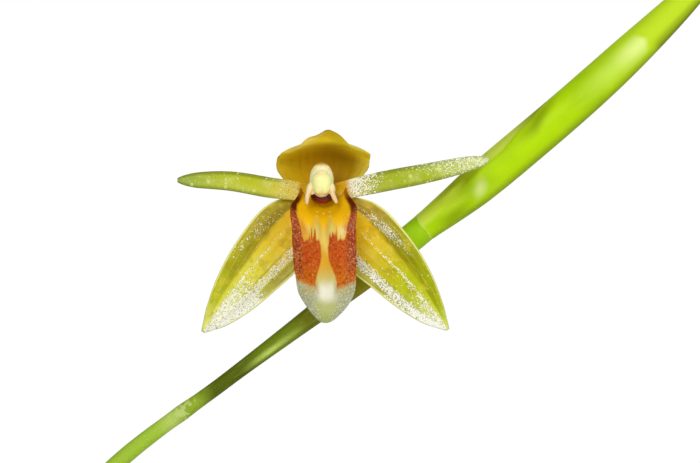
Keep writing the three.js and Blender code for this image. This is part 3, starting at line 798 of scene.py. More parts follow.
def shootSheaths():
    row = bulbs[-1]
    foot = Vector((row["x"], row["y"], bulb["base"]))
    height = Vector((0, 0, shoot["height"]))
    route = Route([foot, foot + Vector((0.05, 0, 0)) + 0.5 * height, foot + Vector((0.2, 0, 0)) + height])
    finish = greenSheathFinish()
    for layer, pointAngle in (("inner", 0.4), ("outer", 3.5)):
        top, width = shoot[layer + "Top"], shoot[layer + "Radius"]

        def pointed(angle):
            return top * (0.72 + 0.28 * (0.5 + 0.5 * math.cos(angle - pointAngle)) ** 2)

        def clasping(t, angle):
            return width + 0.3 - 0.18 * softStep(0.7, 1, t / top) + 0.03 * math.cos(sheath["nerves"] * angle)

        piece = cuffAlong(f"clasping_sheath_{layer}", route, clasping, pointed, sheath["greenGrid"],
                          sheath["wall"])
        dress(piece, finish, "green_sheath", f"shoot_sheath_{layer}")


# Leaves: a channelled stalk, sunk into the pseudobulb's top, that widens to a strap with a V-shaped
# section and a pointed tip

# One row for each leaf: its pseudobulb, the compass direction that it arches to, length, widest half
# width, lean at its foot and tip, the share that is stalk, its foot's distance from the axis, and twist
leafRows = [
    (0, 178, 68, 5.0, (14, 98), 0.1, 1.3, 8),
    (1, 238, 88, 5.8, (12, 92), 0.1, 1.4, -8),
    (1, 122, 92, 5.8, (9, 76), 0.1, 1.4, 8),
    (2, 118, 104, 6.3, (7, 70), 0.1, 1.4, 8),
    (2, 251, 96, 6.2, (7, 78), 0.14, 1.4, -8),
    (3, 282, 98, 6.3, (12, 96), 0.1, 1.4, 8),
    (3, 90, 100, 6.2, (14, 100), 0.1, 1.4, -8),
    (4, 335, 58, 3.8, (1, 66), 0.32, 1.6, 0),
    (4, 160, 34, 2.4, (1, 14), 0.46, 1.6, 0),
]
leaf = {
    "stalkHalf": 0.95,
    "thickness": 0.5,
    "rise": 0.6,  # from the pseudobulb's top to where the arch starts
    "sunk": 1.5,  # from there down into the pseudobulb
    "grid": (20, 56),
    "fold": through((0, 0.75), (0.14, 0.7), (0.4, 0.3), (1, 0.12)),
    "nerves": 15,
    "green": paint(70, 122, 40),
    "pale": paint(112, 156, 62),
    "deep": paint(44, 88, 28),
    "young": paint(116, 168, 56),
    "youngPale": paint(156, 194, 84),
    "youngDeep": paint(88, 140, 42),
    "dry": paint(168, 142, 80),
}


def leafFinish(name, green, pale, deep):
    finish = tissue(name, roughness=0.38, coat=0.3, glow=0.08)
    across, along = finish.surface()
    s = across * 2 - 1
    patches = finish.clouds(95, detail=4)
    streak = finish.clouds(1, finish.stretched(across * 42, along * 3), detail=4)
    nerve = (across * leaf["nerves"]).fraction().near(0.5, 0.16)
    midrib = abs(s).between(0.1, 0.02)
    colour = finish.mix(streak.between(0.35, 0.7), green, deep)
    colour = finish.mix(patches.between(0.5, 0.75) * 0.55, colour, pale)
    colour = finish.mix(nerve * 0.3, colour, pale)
    colour = finish.mix(midrib * 0.6, colour, pale)
    colour = finish.mix(along.between(0.12, 0.0) * 0.7, colour, pale)
    scorched = along.between(0.975, 1.0) + finish.dots(240, 0.035, 0.3) * 0.7
    colour = finish.mix(scorched, colour, leaf["dry"])
    finish.give("Base Color", colour)
    finish.give("Roughness", 0.32 + streak * 0.2)
    return finish.relief(nerve * 0.5 + streak * 0.4 - midrib * 2, 0.12, 0.7)


def archedRoute(start, towards, length, leans):
    steps = 8
    points = [start]
    for i in range(steps):
        lean = math.radians(leans[0] + (leans[1] - leans[0]) * ((i + 0.5) / steps) ** 1.3)
        level = Vector((math.cos(math.radians(towards)), math.sin(math.radians(towards)), 0))
        step = level * math.sin(lean) + Vector((0, 0, math.cos(lean)))
        points.append(points[i] + step * length / steps)
    return Route([start - Vector((0, 0, leaf["sunk"])), *points])


def leaves():
    grown = leafFinish("leaf", leaf["green"], leaf["pale"], leaf["deep"])
    young = leafFinish("young leaf", leaf["young"], leaf["youngPale"], leaf["youngDeep"])
    for number, (which, towards, length, half, leans, stalk, foot, twist) in enumerate(leafRows):
        heading = math.radians(towards)
        out = Vector((math.cos(heading), math.sin(heading), 0))
        start = bulbRoute(bulbs[which]).at(1) + out * foot + Vector((0, 0, leaf["rise"]))

        def width(t, s=0):
            bladePart = max(0, (min(t, 0.9999) - stalk) / (1 - stalk))
            return leaf["stalkHalf"] * (1 - 0.85 * t) + half * math.sin(math.pi * bladePart**0.82) ** 0.9

        def lift(t, s):
            wave = 0.06 * half * math.sin(5 * math.pi * t + 2 * s) * s * s * min(1, 4 * t)
            rib = 0.14 * math.exp(-((s / 0.06) ** 2)) * softStep(1, 0.7, t)
            return leaf["fold"](t) * width(t) * math.sqrt(s * s + 0.004) + wave - rib

        piece = bladeAlong(f"strap_leaf_{number + 1}", archedRoute(start, towards, length, leans),
                           Vector((out.y, -out.x, 0)), width, leaf["grid"], leaf["thickness"], lift=lift,
                           twist=lambda t: math.radians(twist) * t * t)
        if which < grownBulbs:
            dress(piece, grown, "leaf", f"leaf_{number + 1}")
        else:
            dress(piece, young, "young_leaf", f"leaf_{number + 1}")


# The scape leans out from the new shoot, up to the ring where the bracts of the buds begin

scape = {
    "route": [
        (14.5, -4.0, 60.0), (14.7, -4.0, 72.0), (15.6, -3.8, 85.0), (18.0, -3.4, 97.6), (22.4, -3.0, 108.6),
        (28.4, -2.6, 116.1), (36.3, -1.9, 122.2), (41.1, -1.5, 125.8), (45.6, -1.1, 129.2),
        (49.9, -0.7, 132.7), (50.7, -0.65, 133.35),
    ],
    "radius": through((0, 0.72), (0.55, 0.58), (0.69, 0.57), (0.79, 0.5), (0.855, 0.63), (0.925, 0.88),
                      (0.985, 0.98), (1, 0.9)),
    "lowerNode": 0.752,
    "middleNode": 0.35,
    "grid": (28, 180),
    "foot": paint(112, 150, 44),
    "bright": paint(164, 198, 58),
    "pale": paint(188, 210, 104),
    "soft": paint(146, 172, 42),
    "olive": paint(84, 98, 0),
    "mossy": paint(112, 132, 18),
    "brownish": paint(106, 110, 8),
    "amber": paint(140, 132, 4),
    "lime": paint(158, 204, 8),
    "sheen": paint(186, 208, 96),
    "node": paint(206, 224, 140),
}


def scapeFinish():
    finish = tissue("scape", roughness=0.55, coat=0)
    across, along = finish.surface()
    fibre = finish.clouds(1, finish.stretched(across * 14, along * 60), detail=3)
    blotch = finish.clouds(420, detail=3)
    where = along + blotch * 0.012 - 0.006
    # along the scape: the darker olive-to-amber stretch below and behind the flower is partly its own colour
    # and partly painted shade of the flower's shadow
    colour = finish.ramp(where, (0.0, scape["foot"]), (0.5, scape["bright"]), (0.725, scape["bright"]),
                         (0.74, scape["pale"]), (0.752, scape["soft"]), (0.764, scape["soft"]),
                         (0.777, scape["olive"]), (0.805, scape["olive"]), (0.83, scape["mossy"]),
                         (0.852, scape["mossy"]), (0.866, scape["brownish"]), (0.888, scape["brownish"]),
                         (0.91, scape["amber"]), (0.93, scape["amber"]), (0.948, scape["lime"]))
    # a painted highlight: a pale sheen on the upper side where the stem swells
    sheen = across.near(0.81, 0.1) * along.near(0.833, 0.035)
    colour = finish.mix(sheen * (blotch + 0.4), colour, scape["sheen"])
    colour = finish.mix(fibre.between(0.5, 0.75) * 0.15, colour, scape["sheen"])
    # pale specks round the lower node are painted highlights
    nodeGlints = finish.flecks(3200, along.near(scape["lowerNode"], 0.012) * 0.6)
    nodeGlints = nodeGlints * along.near(scape["lowerNode"], 0.02)
    colour = finish.mix(nodeGlints * 0.6, colour, scape["node"])
    finish.give("Base Color", colour)
    return finish.relief(fibre, 0.05, 0.4)


def leaningScape():
    def width(t, angle):
        node = 0.05 * math.exp(-(((t - scape["lowerNode"]) / 0.008) ** 2))
        node += 0.05 * math.exp(-(((t - scape["middleNode"]) / 0.008) ** 2))
        return scape["radius"](t) + node + 0.012 * math.cos(5 * angle)

    piece = stemAlong("leaning_scape", Route(scape["route"]), width, scape["grid"])
    return dress(piece, scapeFinish(), "scape", "scape")


# The buds, wrapped in bracts: the outer bract's free margin runs up the front, and it ends in a point

bracts = {
    "route": [
        (49.55, -0.75, 132.42), (52.04, -0.5, 134.35), (56.1, -0.2, 137.7), (60.74, 0.0, 141.66),
        (64.7, 0.1, 145.3), (68.36, 0.1, 148.84), (71.6, 0.0, 152.1),
    ],
    "radius": through((0, 0.93), (0.03, 1.01), (0.1, 1.19), (0.17, 1.34), (0.3, 1.38), (0.55, 1.33),
                      (0.68, 1.2), (0.84, 0.86), (1, 0.12)),
    "marginAngle": through((0, 4.4), (0.21, 4.15), (0.267, 4.15), (0.305, 3.93), (0.353, 3.9), (0.386, 3.6),
                           (0.45, 3.2), (1, 3.1)),
    "marginStep": through((0, 0.0), (0.12, 0.02), (0.24, 0.06), (0.34, 0.07), (0.45, 0.0), (1, 0)),
    "grid": (64, 108),
    "lime": paint(182, 222, 0),
    "deep": paint(154, 196, 0),
    "soft": paint(204, 230, 52),
    "shadow": paint(124, 142, 0),
    "flange": paint(198, 217, 72),
    "flangeShadow": paint(146, 164, 6),
    "flangePale": paint(202, 228, 76),
    "flangeMid": paint(214, 238, 60),
    "highlightMist": paint(236, 250, 152),
    "ring": paint(206, 232, 110),
}


def bractFinish():
    finish = tissue("bud bract", roughness=0.55, coat=0)
    across, along = finish.surface()
    nerve = finish.clouds(1, finish.stretched(across * 12, along * 8), detail=4)
    blotch = finish.clouds(330, detail=2)
    # the angle of the margin, as a share of a turn, falls along the bract
    share = [(0, 0.75), (0.13, 0.7), (0.21, 0.66), (0.267, 0.66), (0.305, 0.625), (0.353, 0.62),
             (0.386, 0.573), (0.45, 0.51)]
    margin = finish.ramp(along, *[(place, (value, value, value, 1)) for place, value in share])
    soft = along.between(0.3, 0.12) * 0.03 + 0.012
    under = ((margin - across) / soft).between(-1, 1) * across.between(0.34, 0.42) * along.between(0.5, 0.4)
    colour = finish.mix(blotch.between(0.35, 0.7) * 0.5, bracts["lime"], bracts["deep"])
    colour = finish.mix(nerve.between(0.5, 0.75) * 0.25, colour, bracts["soft"])
    colour = finish.mix(across.near(0.75, 0.07) * along.near(0.11, 0.06) * 0.7, colour, bracts["soft"])
    colour = finish.mix(along.between(0.45, 0.75) * 0.5, colour, bracts["soft"])
    # the flange's darker stops are painted shadow: a band across it at .16 to .19 and the crease's shade at
    # .38; the next line paints shade along its far edge
    flange = finish.ramp(along, (0.02, bracts["flangePale"]), (0.07, bracts["flangeMid"]),
                         (0.12, bracts["flangeMid"]), (0.16, bracts["flangeShadow"]),
                         (0.19, bracts["flangeShadow"]), (0.24, bracts["flange"]),
                         (0.31, bracts["flange"]), (0.38, bracts["flangeShadow"]))
    flange = finish.mix(across.between(0.65, 0.59) * along.near(0.14, 0.1), flange, bracts["flangeShadow"])
    # shade lies in the crease beside the margin, under the first bract and down the far side
    crease = (across - margin).near(0.06, 0.09) * along.near(0.375, 0.09) * 0.9
    hollow = across.near(0.84, 0.1) * along.near(0.085, 0.06)
    shade = crease + hollow * 0.7 + across.between(0.84, 0.95) * 0.7
    shade = shade + across.between(0.79, 0.86) * along.between(0.67, 0.7) * 0.5
    colour = finish.mix(shade * 0.8, colour, bracts["shadow"])
    colour = finish.mix(under, colour, flange)
    # painted highlights: a soft one on the first swelling and a wedge before the outer bract's tip
    swellingHighlight = (across + along * 1.2).near(0.99, 0.09) * along.near(0.172, 0.03)
    wedgeHighlight = across.near(0.75, 0.14) * (along.between(0.44, 0.6) * 0.22 + along.between(0.57, 0.65) * 0.55)
    wedgeHighlight = wedgeHighlight * (along + abs(across - 0.75) * 0.12).between(0.685, 0.668)
    colour = finish.mix(swellingHighlight * 0.8 + wedgeHighlight, colour, bracts["highlightMist"])
    colour = finish.mix((along - across * 0.01).near(0.006, 0.008) * 0.7, colour, bracts["ring"])
    finish.give("Base Color", colour)
    return finish.relief(nerve, 0.04, 0.3)


def wrappedBuds():
    def width(t, angle):
        away = angle - bracts["marginAngle"](t)
        step = 0.5 * math.exp(-away / 0.6) if away > 0 else -0.5 * math.exp(away / 0.35)
        ring = 0.02 * math.exp(-(((t - 0.014) / 0.01) ** 2))
        return bracts["radius"](t) * (1 + bracts["marginStep"](t) * step) + ring

    piece = stemAlong("wrapped_buds", Route(bracts["route"]), width, bracts["grid"])
    return dress(piece, bractFinish(), "bract", "bud_bracts")


# The flower, in its own frame, whose middle is where its pieces meet

flowerAt = Vector((43, -6, 135))


def flowerRoute(points):
    return Route([flowerAt + Vector(point) for point in points])


# Glistening skin: every cell of it is a tiny lens
def glisten(finish, size=9000):
    return finish.relief(finish.cells(size) * 0.8, 0.02, 0.8)


ovary = {
    "route": [
        (4.5, 4.7, -4.25), (4.25, 3.75, -3.9), (3.3, 3.3, -3.1), (1.5, 2.9, -1.3), (0.25, 2.1, -0.35),
        (0, 1.3, -0.2),
    ],
    "radius": through((0, 0.5), (0.14, 0.44), (0.4, 0.5), (0.7, 0.72), (1, 0.66)),
    "ribs": 3,
    "grid": (36, 48),
    "green": paint(150, 176, 60),
    "pale": paint(196, 204, 110),
}


def ovaryFinish():
    finish = tissue("ovary", roughness=0.4, coat=0.25)
    across = finish.surface()[0]
    cloudy = finish.clouds(900, detail=3)
    rib = (across * ovary["ribs"]).fraction().near(0.5, 0.35)
    colour = finish.mix(rib * 0.6 + cloudy * 0.3, ovary["green"], ovary["pale"])
    finish.give("Base Color", colour)
    return finish.relief(cloudy, 0.05, 0.4)


def ribbedOvary():
    def ribbed(t, angle):
        return ovary["radius"](t) * (1 + 0.09 * math.cos(ovary["ribs"] * (angle + 1.2 * t)))

    piece = stemAlong("ribbed_ovary", flowerRoute(ovary["route"]), ribbed, ovary["grid"])
    return dress(piece, ovaryFinish(), "scape", "ovary")


# The cup at the ovary's end, where sepals, petals and lip all grow

cup = {
    "centre": (0, 0.4, -0.3),
    "size": (1.9, 0.9, 1.1),
    "gold": paint(222, 176, 12),
    "deepGold": paint(190, 142, 0),
}


def cupFinish():
    finish = tissue("flower cup", roughness=0.4, coat=0.25)
    cloudy = finish.clouds(1500, detail=3)
    finish.give("Base Color", finish.mix(cloudy.between(0.35, 0.7), cup["gold"], cup["deepGold"]))
    return finish.relief(cloudy, 0.05, 0.4)


def flowerCup():
    piece = ellipsoid("flower_cup", cup["centre"], cup["size"])
    return dress(piece, cupFinish(), "scape")


# The hood: the dorsal sepal rises behind the column, arches forward over it and turns up at its tip

hood = {
    "route": [
        (0.0, 1.1, 0.2), (-0.03, 1.3, 1.4), (-0.03, 1.05, 2.3), (0.04, 0.2, 3.0), (0.2, -1.1, 3.22),
        (0.3, -2.15, 3.36), (0.35, -2.36, 3.66), (0.33, -2.5, 4.08),
    ],
    "half": through((0, 2.2), (0.1, 2.85), (0.2, 3.24), (0.32, 3.36), (0.45, 3.3), (0.6, 3.22), (0.7, 3.12),
                    (0.78, 2.95), (0.84, 2.38), (0.875, 1.86), (0.9, 1.5), (0.95, 0.78), (1, 0.1)),
    "curl": through((0, 0.5), (0.1, 0.58), (0.2, 0.68), (0.32, 0.7), (0.45, 0.62), (0.6, 0.54), (0.72, 0.5),
                    (0.85, 0.54), (0.93, 0.5), (1, 0.1)),
    "thickness": 0.28,
    "grid": (36, 60),
    "hollow": ((0.03, paint(206, 176, 34)), (0.18, paint(206, 172, 8)), (0.32, paint(198, 157, 0)),
               (0.45, paint(184, 141, 0)), (0.68, paint(158, 119, 0)), (0.82, paint(166, 130, 0)),
               (0.93, paint(208, 186, 52)), (1, paint(216, 196, 80))),
    "streak": paint(146, 110, 0),
    "gold": paint(214, 178, 20),
    "light": paint(250, 214, 36),
    "rim": paint(222, 190, 28),
    "rimPale": paint(232, 206, 92),
    "edge": paint(150, 122, 36),
    "green": paint(206, 184, 22),
}


def hoodFinish():
    finish = tissue("hood", roughness=0.6, coat=0, glow=0.2)
    across, along = finish.surface()
    s = across * 2 - 1
    streak = finish.clouds(1, finish.stretched(across * 20, along * 2), detail=3)
    cloudy = finish.clouds(900, detail=2)
    # across the hollow: its own gold-brown, with painted light lifting the left side and painted shade
    # darkening it right of the middle
    colour = finish.ramp(across, *hood["hollow"])
    colour = finish.mix(streak.between(0.5, 0.7) * 0.3, colour, hood["streak"])
    colour = finish.mix(streak.between(0.42, 0.3) * 0.25, colour, hood["gold"])
    # painted light under the roof, stronger towards the sides, then a brim that is pale on the left and
    # greener on the right
    colour = finish.mix(along.between(0.36, 0.66) * (abs(s - 0.1) + 0.35), colour, hood["light"])
    brim = finish.mix(s.between(-0.1, 0.4) * (cloudy + 0.2), hood["rim"], hood["green"])
    brim = finish.mix(s.between(-0.3, -0.9) * 0.7, brim, hood["rimPale"])
    brim = finish.mix(along.between(0.88, 0.97) * 0.5, brim, hood["streak"])
    colour = finish.mix((along + cloudy * 0.04).between(0.78, 0.85), colour, brim)
    edge = abs(s).between(0.965, 0.99) * 0.5 + along.between(0.98, 0.995)
    colour = finish.mix(edge * 0.5, colour, hood["edge"])
    finish.give("Base Color", colour)
    return finish.relief(streak + cloudy * 0.5, 0.06, 0.4)


def hoodPiece():
    piece = bladeAlong("hood", flowerRoute(hood["route"]), sideways, lambda t, s: hood["half"](t),
                       hood["grid"], hood["thickness"], curl=hood["curl"])
    return dress(piece, hoodFinish(), "hood", "dorsal_sepal")


# The two lateral sepals: furrowed lengthwise, golden at the foot and greener towards the tip, with white
# frosting out to the tip that is partly glistening cells and partly painted highlights

sepal = {
    "upperHalf": through((0, 0.9), (0.1, 1.9), (0.16, 2.18), (0.22, 2.32), (0.32, 2.33), (0.5, 2.08),
                         (0.7, 1.56), (0.87, 0.86), (1, 0.1)),
    "lowerHalf": through((0, 0.75), (0.12, 1.8), (0.3, 2.25), (0.5, 2.08), (0.7, 1.66), (0.87, 0.98),
                         (1, 0.1)),
    "foot": [(1.0, 0.75, -0.75), (2.3, 0.55, -2.55)],
    "left": [(-4.7, 0.1, -5.3), (-7.03, 0.1, -8.15), (-8.05, 0.3, -9.35)],
    "right": [(4.9, 0.1, -5.18), (7.3, 0.1, -8.0), (8.35, 0.3, -9.2)],
    "grid": (36, 72),
    "curl": 0.3,
    "foldHeight": 0.34,
    "thickness": 0.28,
    "shade": paint(140, 124, 4),
    "khaki": paint(176, 172, 70),
    "grain": paint(104, 108, 46),
    "glow": paint(230, 210, 60),
    "highlightMist": paint(216, 214, 158),
    "frostAndGlint": paint(248, 247, 236),
    "edge": paint(230, 228, 136),
    "rim": paint(110, 112, 70),
}
# How the two sepals differ: colours of the middle and of the flanks from foot to tip, where the midrib
# lies, how deep the painted shade in the crease is, how far the outer sparkles drift to the margin and how
# thick they are, where the lower band of frosting lies and how thick it is, and where the tip's frosting
# sets in. The sparkles and frosting are partly white glistening cells and partly painted highlights.
sepalLooks = {
    "left": {
        "heart": ((0, paint(240, 188, 36)), (0.3, paint(240, 206, 44)), (0.48, paint(226, 214, 62)),
                  (0.7, paint(208, 208, 48)), (0.95, paint(222, 224, 120))),
        "flank": ((0, paint(176, 158, 50)), (0.35, paint(172, 158, 40)), (0.55, paint(166, 164, 24)),
                  (0.8, paint(182, 188, 30)), (0.95, paint(226, 230, 120))),
        "midrib": 0.11,
        "crease": 0.8,
        "drift": 0.8,
        "outer": 0.21,
        "band": -0.53,
        "lower": 0.62,
        "tip": (0.5, 0.8),
    },
    "right": {
        "heart": ((0, paint(250, 202, 30)), (0.24, paint(246, 202, 24)), (0.4, paint(206, 184, 0)),
                  (0.62, paint(184, 192, 4)), (0.82, paint(186, 196, 30)), (0.97, paint(214, 222, 120))),
        "flank": ((0, paint(184, 152, 66)), (0.25, paint(170, 152, 50)), (0.42, paint(162, 160, 24)),
                  (0.6, paint(156, 162, 0)), (0.85, paint(166, 180, 0)), (0.97, paint(206, 216, 90))),
        "midrib": 0.03,
        "crease": 0.3,
        "drift": 0.55,
        "outer": 0.62,
        "band": -0.66,
        "lower": 0.85,
        "tip": (0.66, 0.98),
    },
}


def sepalFinish(side, upperSide):
    look = sepalLooks[side]
    finish = tissue(f"{side} sepal", roughness=0.45, coat=0.04)
    across, along = finish.surface()
    wobble = finish.clouds(1, finish.stretched(across * 3, along * 9), detail=3) - 0.5
    q = (across * 2 - 1) * upperSide + wobble * 0.12
    streak = finish.clouds(1, finish.stretched(across * 26, along * 4), detail=3)
    flank = finish.ramp(along, *look["flank"])
    heart = finish.ramp(along, *look["heart"])
    # the khaki flanks and lower margin are partly their own colour and partly painted shade where they turn
    # away from the light
    colour = finish.mix(q.between(0.4, 0.5) + q.between(-0.62, -0.72), heart, flank)
    # painted shade in the upper fold and in the lower crease
    fold = q.near(0.42, 0.13) * along.between(0.8, 0.5)
    fold = fold + (q + 0.34).near(0, 0.07) * along.between(0.85, 0.5) * look["crease"]
    colour = finish.mix(fold * (streak + 0.25) * along.between(0.1, 0.5), colour, sepal["shade"])
    colour = finish.mix(q.between(-0.72, -0.82) * along.between(0.72, 0.6) * 0.8, colour, sepal["khaki"])
    # the frosting, partly white glistening cells and partly painted highlights, lies beside the midrib, on
    # the outer side, in a lower band and at the tip
    outer = (q - (along - 0.13) * look["drift"]).near(0.52, 0.18) * along.near(0.31, 0.27) * look["outer"]
    rib = (q - look["midrib"]).near(0, 0.06) * along.near(0.55, 0.42) * 0.6
    rib = rib + q.near(0, 0.24) * along.between(0.42, 0.85) * 0.35
    margin = q.between(look["band"] - 0.08, look["band"] - 0.2) * along.between(0.68, 0.56)
    lower = q.between(look["band"] + 0.2, look["band"] + 0.03) * (1 - margin) * look["lower"]
    lower = lower * along.between(0.05, 0.18)
    tip = along.between(*look["tip"]) * q.between(0.4, -0.15)
    frostedAndGlinting = outer + rib + lower + tip * look["lower"]
    blotch = finish.clouds(1300, detail=3)
    colour = finish.mix(blotch.between(0.5, 0.68) * 0.35, colour, sepal["shade"])
    glowing = (streak.between(0.5, 0.62) + blotch.between(0.45, 0.35)) * 0.3
    colour = finish.mix(glowing, colour, sepal["glow"])
    colour = finish.mix(frostedAndGlinting.between(0.1, 0.9) * 0.3 + tip * 0.45, colour, sepal["highlightMist"])
    grain = finish.flecks(14000, outer * 0.4 + lower * 0.5 + rib * 0.3 + tip * 0.12, 1)
    colour = finish.mix(grain * 0.6, colour, sepal["grain"])
    snowAndGlints = finish.flecks(17000, frostedAndGlinting * 0.66) + finish.flecks(10500, frostedAndGlinting * 0.2)
    colour = finish.mix(snowAndGlints * 0.85, colour, sepal["frostAndGlint"])
    outwards = abs(across * 2 - 1)
    colour = finish.mix(outwards.between(0.935, 0.965), colour, sepal["edge"])
    # a dark line on the extreme rim is painted shade on the margin's thickness
    colour = finish.mix(outwards.between(0.982, 0.995) * along.between(0.3, 0.8) * 0.7, colour, sepal["rim"])
    finish.give("Base Color", colour)
    finish.give("Roughness", 0.44 - snowAndGlints * 0.12)
    return glisten(finish)


def lateralSepal(side, mirror):
    foot = [(mirror * x, y, z) for x, y, z in sepal["foot"]]
    route = flowerRoute([*foot, *sepal[side]])

    def folds(t, s):
        flank = softStep(0.4, 0.72, abs(s)) * math.sin(math.pi * min(1, t + 0.06)) ** 0.6
        return sepal["foldHeight"] * flank + 0.07 * math.exp(-((s / 0.05) ** 2)) * softStep(1, 0.8, t)

    piece = bladeAlong(f"glistening_sepal_{side}", route, Vector((-0.76, 0, 0.65 * -mirror)),
                       lambda t, s: sepal["lowerHalf" if s * mirror > 0 else "upperHalf"](t),
                       sepal["grid"], sepal["thickness"], curl=lambda t: sepal["curl"], lift=folds)
    return dress(piece, sepalFinish(side, -mirror), "sepal", f"lateral_sepal_{side}")


# The two petals: narrow straps, with white frosting at the foot and, on the right, at the tip, partly
# glistening cells and partly painted highlights

petal = {
    "left": [(-0.9, 0.1, -0.02), (-3.4, -0.15, 0.27), (-6.2, 0.1, 0.73), (-9.75, 0.8, 0.8)],
    "right": [(0.9, 0.1, 0.0), (3.9, -0.2, 0.67), (7.2, 0.1, 1.32), (11.1, 0.9, 2.22)],
    "half": through((0, 0.62), (0.3, 0.71), (0.6, 0.67), (0.85, 0.53), (0.96, 0.3), (1, 0.12)),
    "thickness": 0.28,
    "curl": 0.5,
    "grid": (16, 56),
    "foot": paint(210, 164, 30),
    "grain": paint(96, 100, 44),
    "edge": paint(126, 134, 30),
    "frostAndGlint": paint(246, 245, 228),
    "highlightMist": paint(222, 230, 162),
    "speck": paint(232, 230, 150),
}
petalLooks = {
    "left": {
        "colours": ((0.1, paint(244, 216, 92)), (0.22, paint(220, 208, 84)), (0.36, paint(190, 194, 36)),
                    (0.62, paint(186, 196, 46)), (0.85, paint(168, 186, 62)), (1, paint(150, 166, 74))),
        "frostAndGlintAtFoot": 0.1,
        "frostAndGlintAtTip": 0.0,
    },
    "right": {
        "colours": ((0.1, paint(206, 200, 110)), (0.22, paint(176, 180, 60)), (0.4, paint(164, 180, 30)),
                    (0.7, paint(168, 186, 40)), (1, paint(196, 206, 110))),
        "frostAndGlintAtFoot": 0.9,
        "frostAndGlintAtTip": 0.7,
    },
}


def petalFinish(side, upperSide):
    look = petalLooks[side]
    finish = tissue(f"{side} petal", roughness=0.45, coat=0.04)
    across, along = finish.surface()
    q = (across * 2 - 1) * upperSide
    blotch = finish.clouds(900, detail=3)
    colour = finish.ramp(along + blotch * 0.04 - 0.02, *look["colours"])
    colour = finish.mix(blotch.between(0.5, 0.7) * 0.25, colour, petal["speck"])
    rim = q.between(0.5, 0.95) * 0.9 + q.between(-0.5, -1.0) * 0.8
    colour = finish.mix(rim * along.between(0.08, 0.36), colour, petal["edge"])
    # the frosting at the foot and tip is partly white glistening cells and partly painted highlights; the
    # right petal's tip is also whitened by a painted reflection
    foot = (along - q * 0.05).between(0.34, 0.08) * look["frostAndGlintAtFoot"]
    tip = (along + q * 0.12).between(0.5, 0.98) * look["frostAndGlintAtTip"]
    colour = finish.mix(finish.flecks(14000, foot * 0.5 + tip * 0.12, 1) * 0.6, colour, petal["grain"])
    colour = finish.mix(tip * 0.5, colour, petal["highlightMist"])
    snowAndGlints = finish.flecks(17000, foot * 0.8 + tip * 0.55) + finish.flecks(10500, foot * 0.25)
    colour = finish.mix(snowAndGlints * 0.9, colour, petal["frostAndGlint"])
    colour = finish.mix(finish.dots(2600, 0.16) * 0.6, colour, petal["speck"])
    colour = finish.mix((along + blotch * 0.05).between(0.135, 0.085), colour, petal["foot"])
    finish.give("Base Color", colour)
    return glisten(finish)


def petalPiece(side, mirror):
    piece = bladeAlong(f"glistening_petal_{side}", flowerRoute(petal[side]), Vector((0, 0, -mirror)),
                       lambda t, s: petal["half"](t), petal["grid"], petal["thickness"],
                       curl=lambda t: petal["curl"])
    return dress(piece, petalFinish(side, -mirror), "petal", f"petal_{side}")


# The lip: a hollowed golden foot with raised sides whose dark edges are partly red-brown and partly painted
# shade, two short keels, then a hanging tongue with a granular red patch on each side of a pale stripe, and
# a pale tip

lip = {
    "route": [
        (0.03, -0.5, -0.8), (0.04, -1.5, -1.38), (0.06, -2.4, -2.0), (0.1, -2.95, -3.0),
        (0.16, -3.1, -4.7), (0.25, -2.85, -6.7), (0.17, -2.35, -8.67),
    ],
    "half": through((0, 2.15), (0.05, 2.06), (0.1, 2.15), (0.14, 2.28), (0.18, 2.38), (0.22, 2.37),
                    (0.3, 2.14), (0.4, 2.14), (0.55, 2.14), (0.64, 2.07), (0.73, 2.0), (0.79, 1.88),
                    (0.855, 1.56), (0.915, 1.12), (0.96, 0.72), (0.985, 0.44), (1, 0.12)),
    "curl": through((0, 1.41), (0.05, 1.18), (0.1, 1.01), (0.14, 0.87), (0.18, 0.78), (0.22, 0.66),
                    (0.3, 0.25), (0.45, -0.3), (0.8, -0.4), (1, -0.1)),
    "thickness": 0.26,
    "grid": (48, 96),
    "gold": paint(246, 190, 10),
    "deepGold": paint(228, 176, 0),
    "callus": paint(246, 216, 96),
    "cream": paint(222, 196, 100),
    "paleFoldHighlight": paint(238, 224, 168),
    "stripe": paint(218, 164, 40),
    "olive": paint(206, 186, 96),
    "red": paint(192, 76, 0),
    "rust": paint(200, 102, 0),
    "purple": paint(150, 62, 26),
    "edgeBrown": paint(166, 112, 10),
    "darkEdgeAndShade": paint(92, 30, 0),
    "white": paint(234, 232, 208),
    "grey": paint(170, 172, 136),
    "greyDark": paint(136, 142, 112),
    "tipGreen": paint(176, 182, 104),
    "tipDeep": paint(144, 156, 80),
    "sandy": paint(186, 170, 106),
    "tan": paint(206, 126, 46),
    "fleck": paint(222, 160, 120),
    "soot": paint(104, 34, 16),
    "throatShade": paint(150, 90, 0),
}


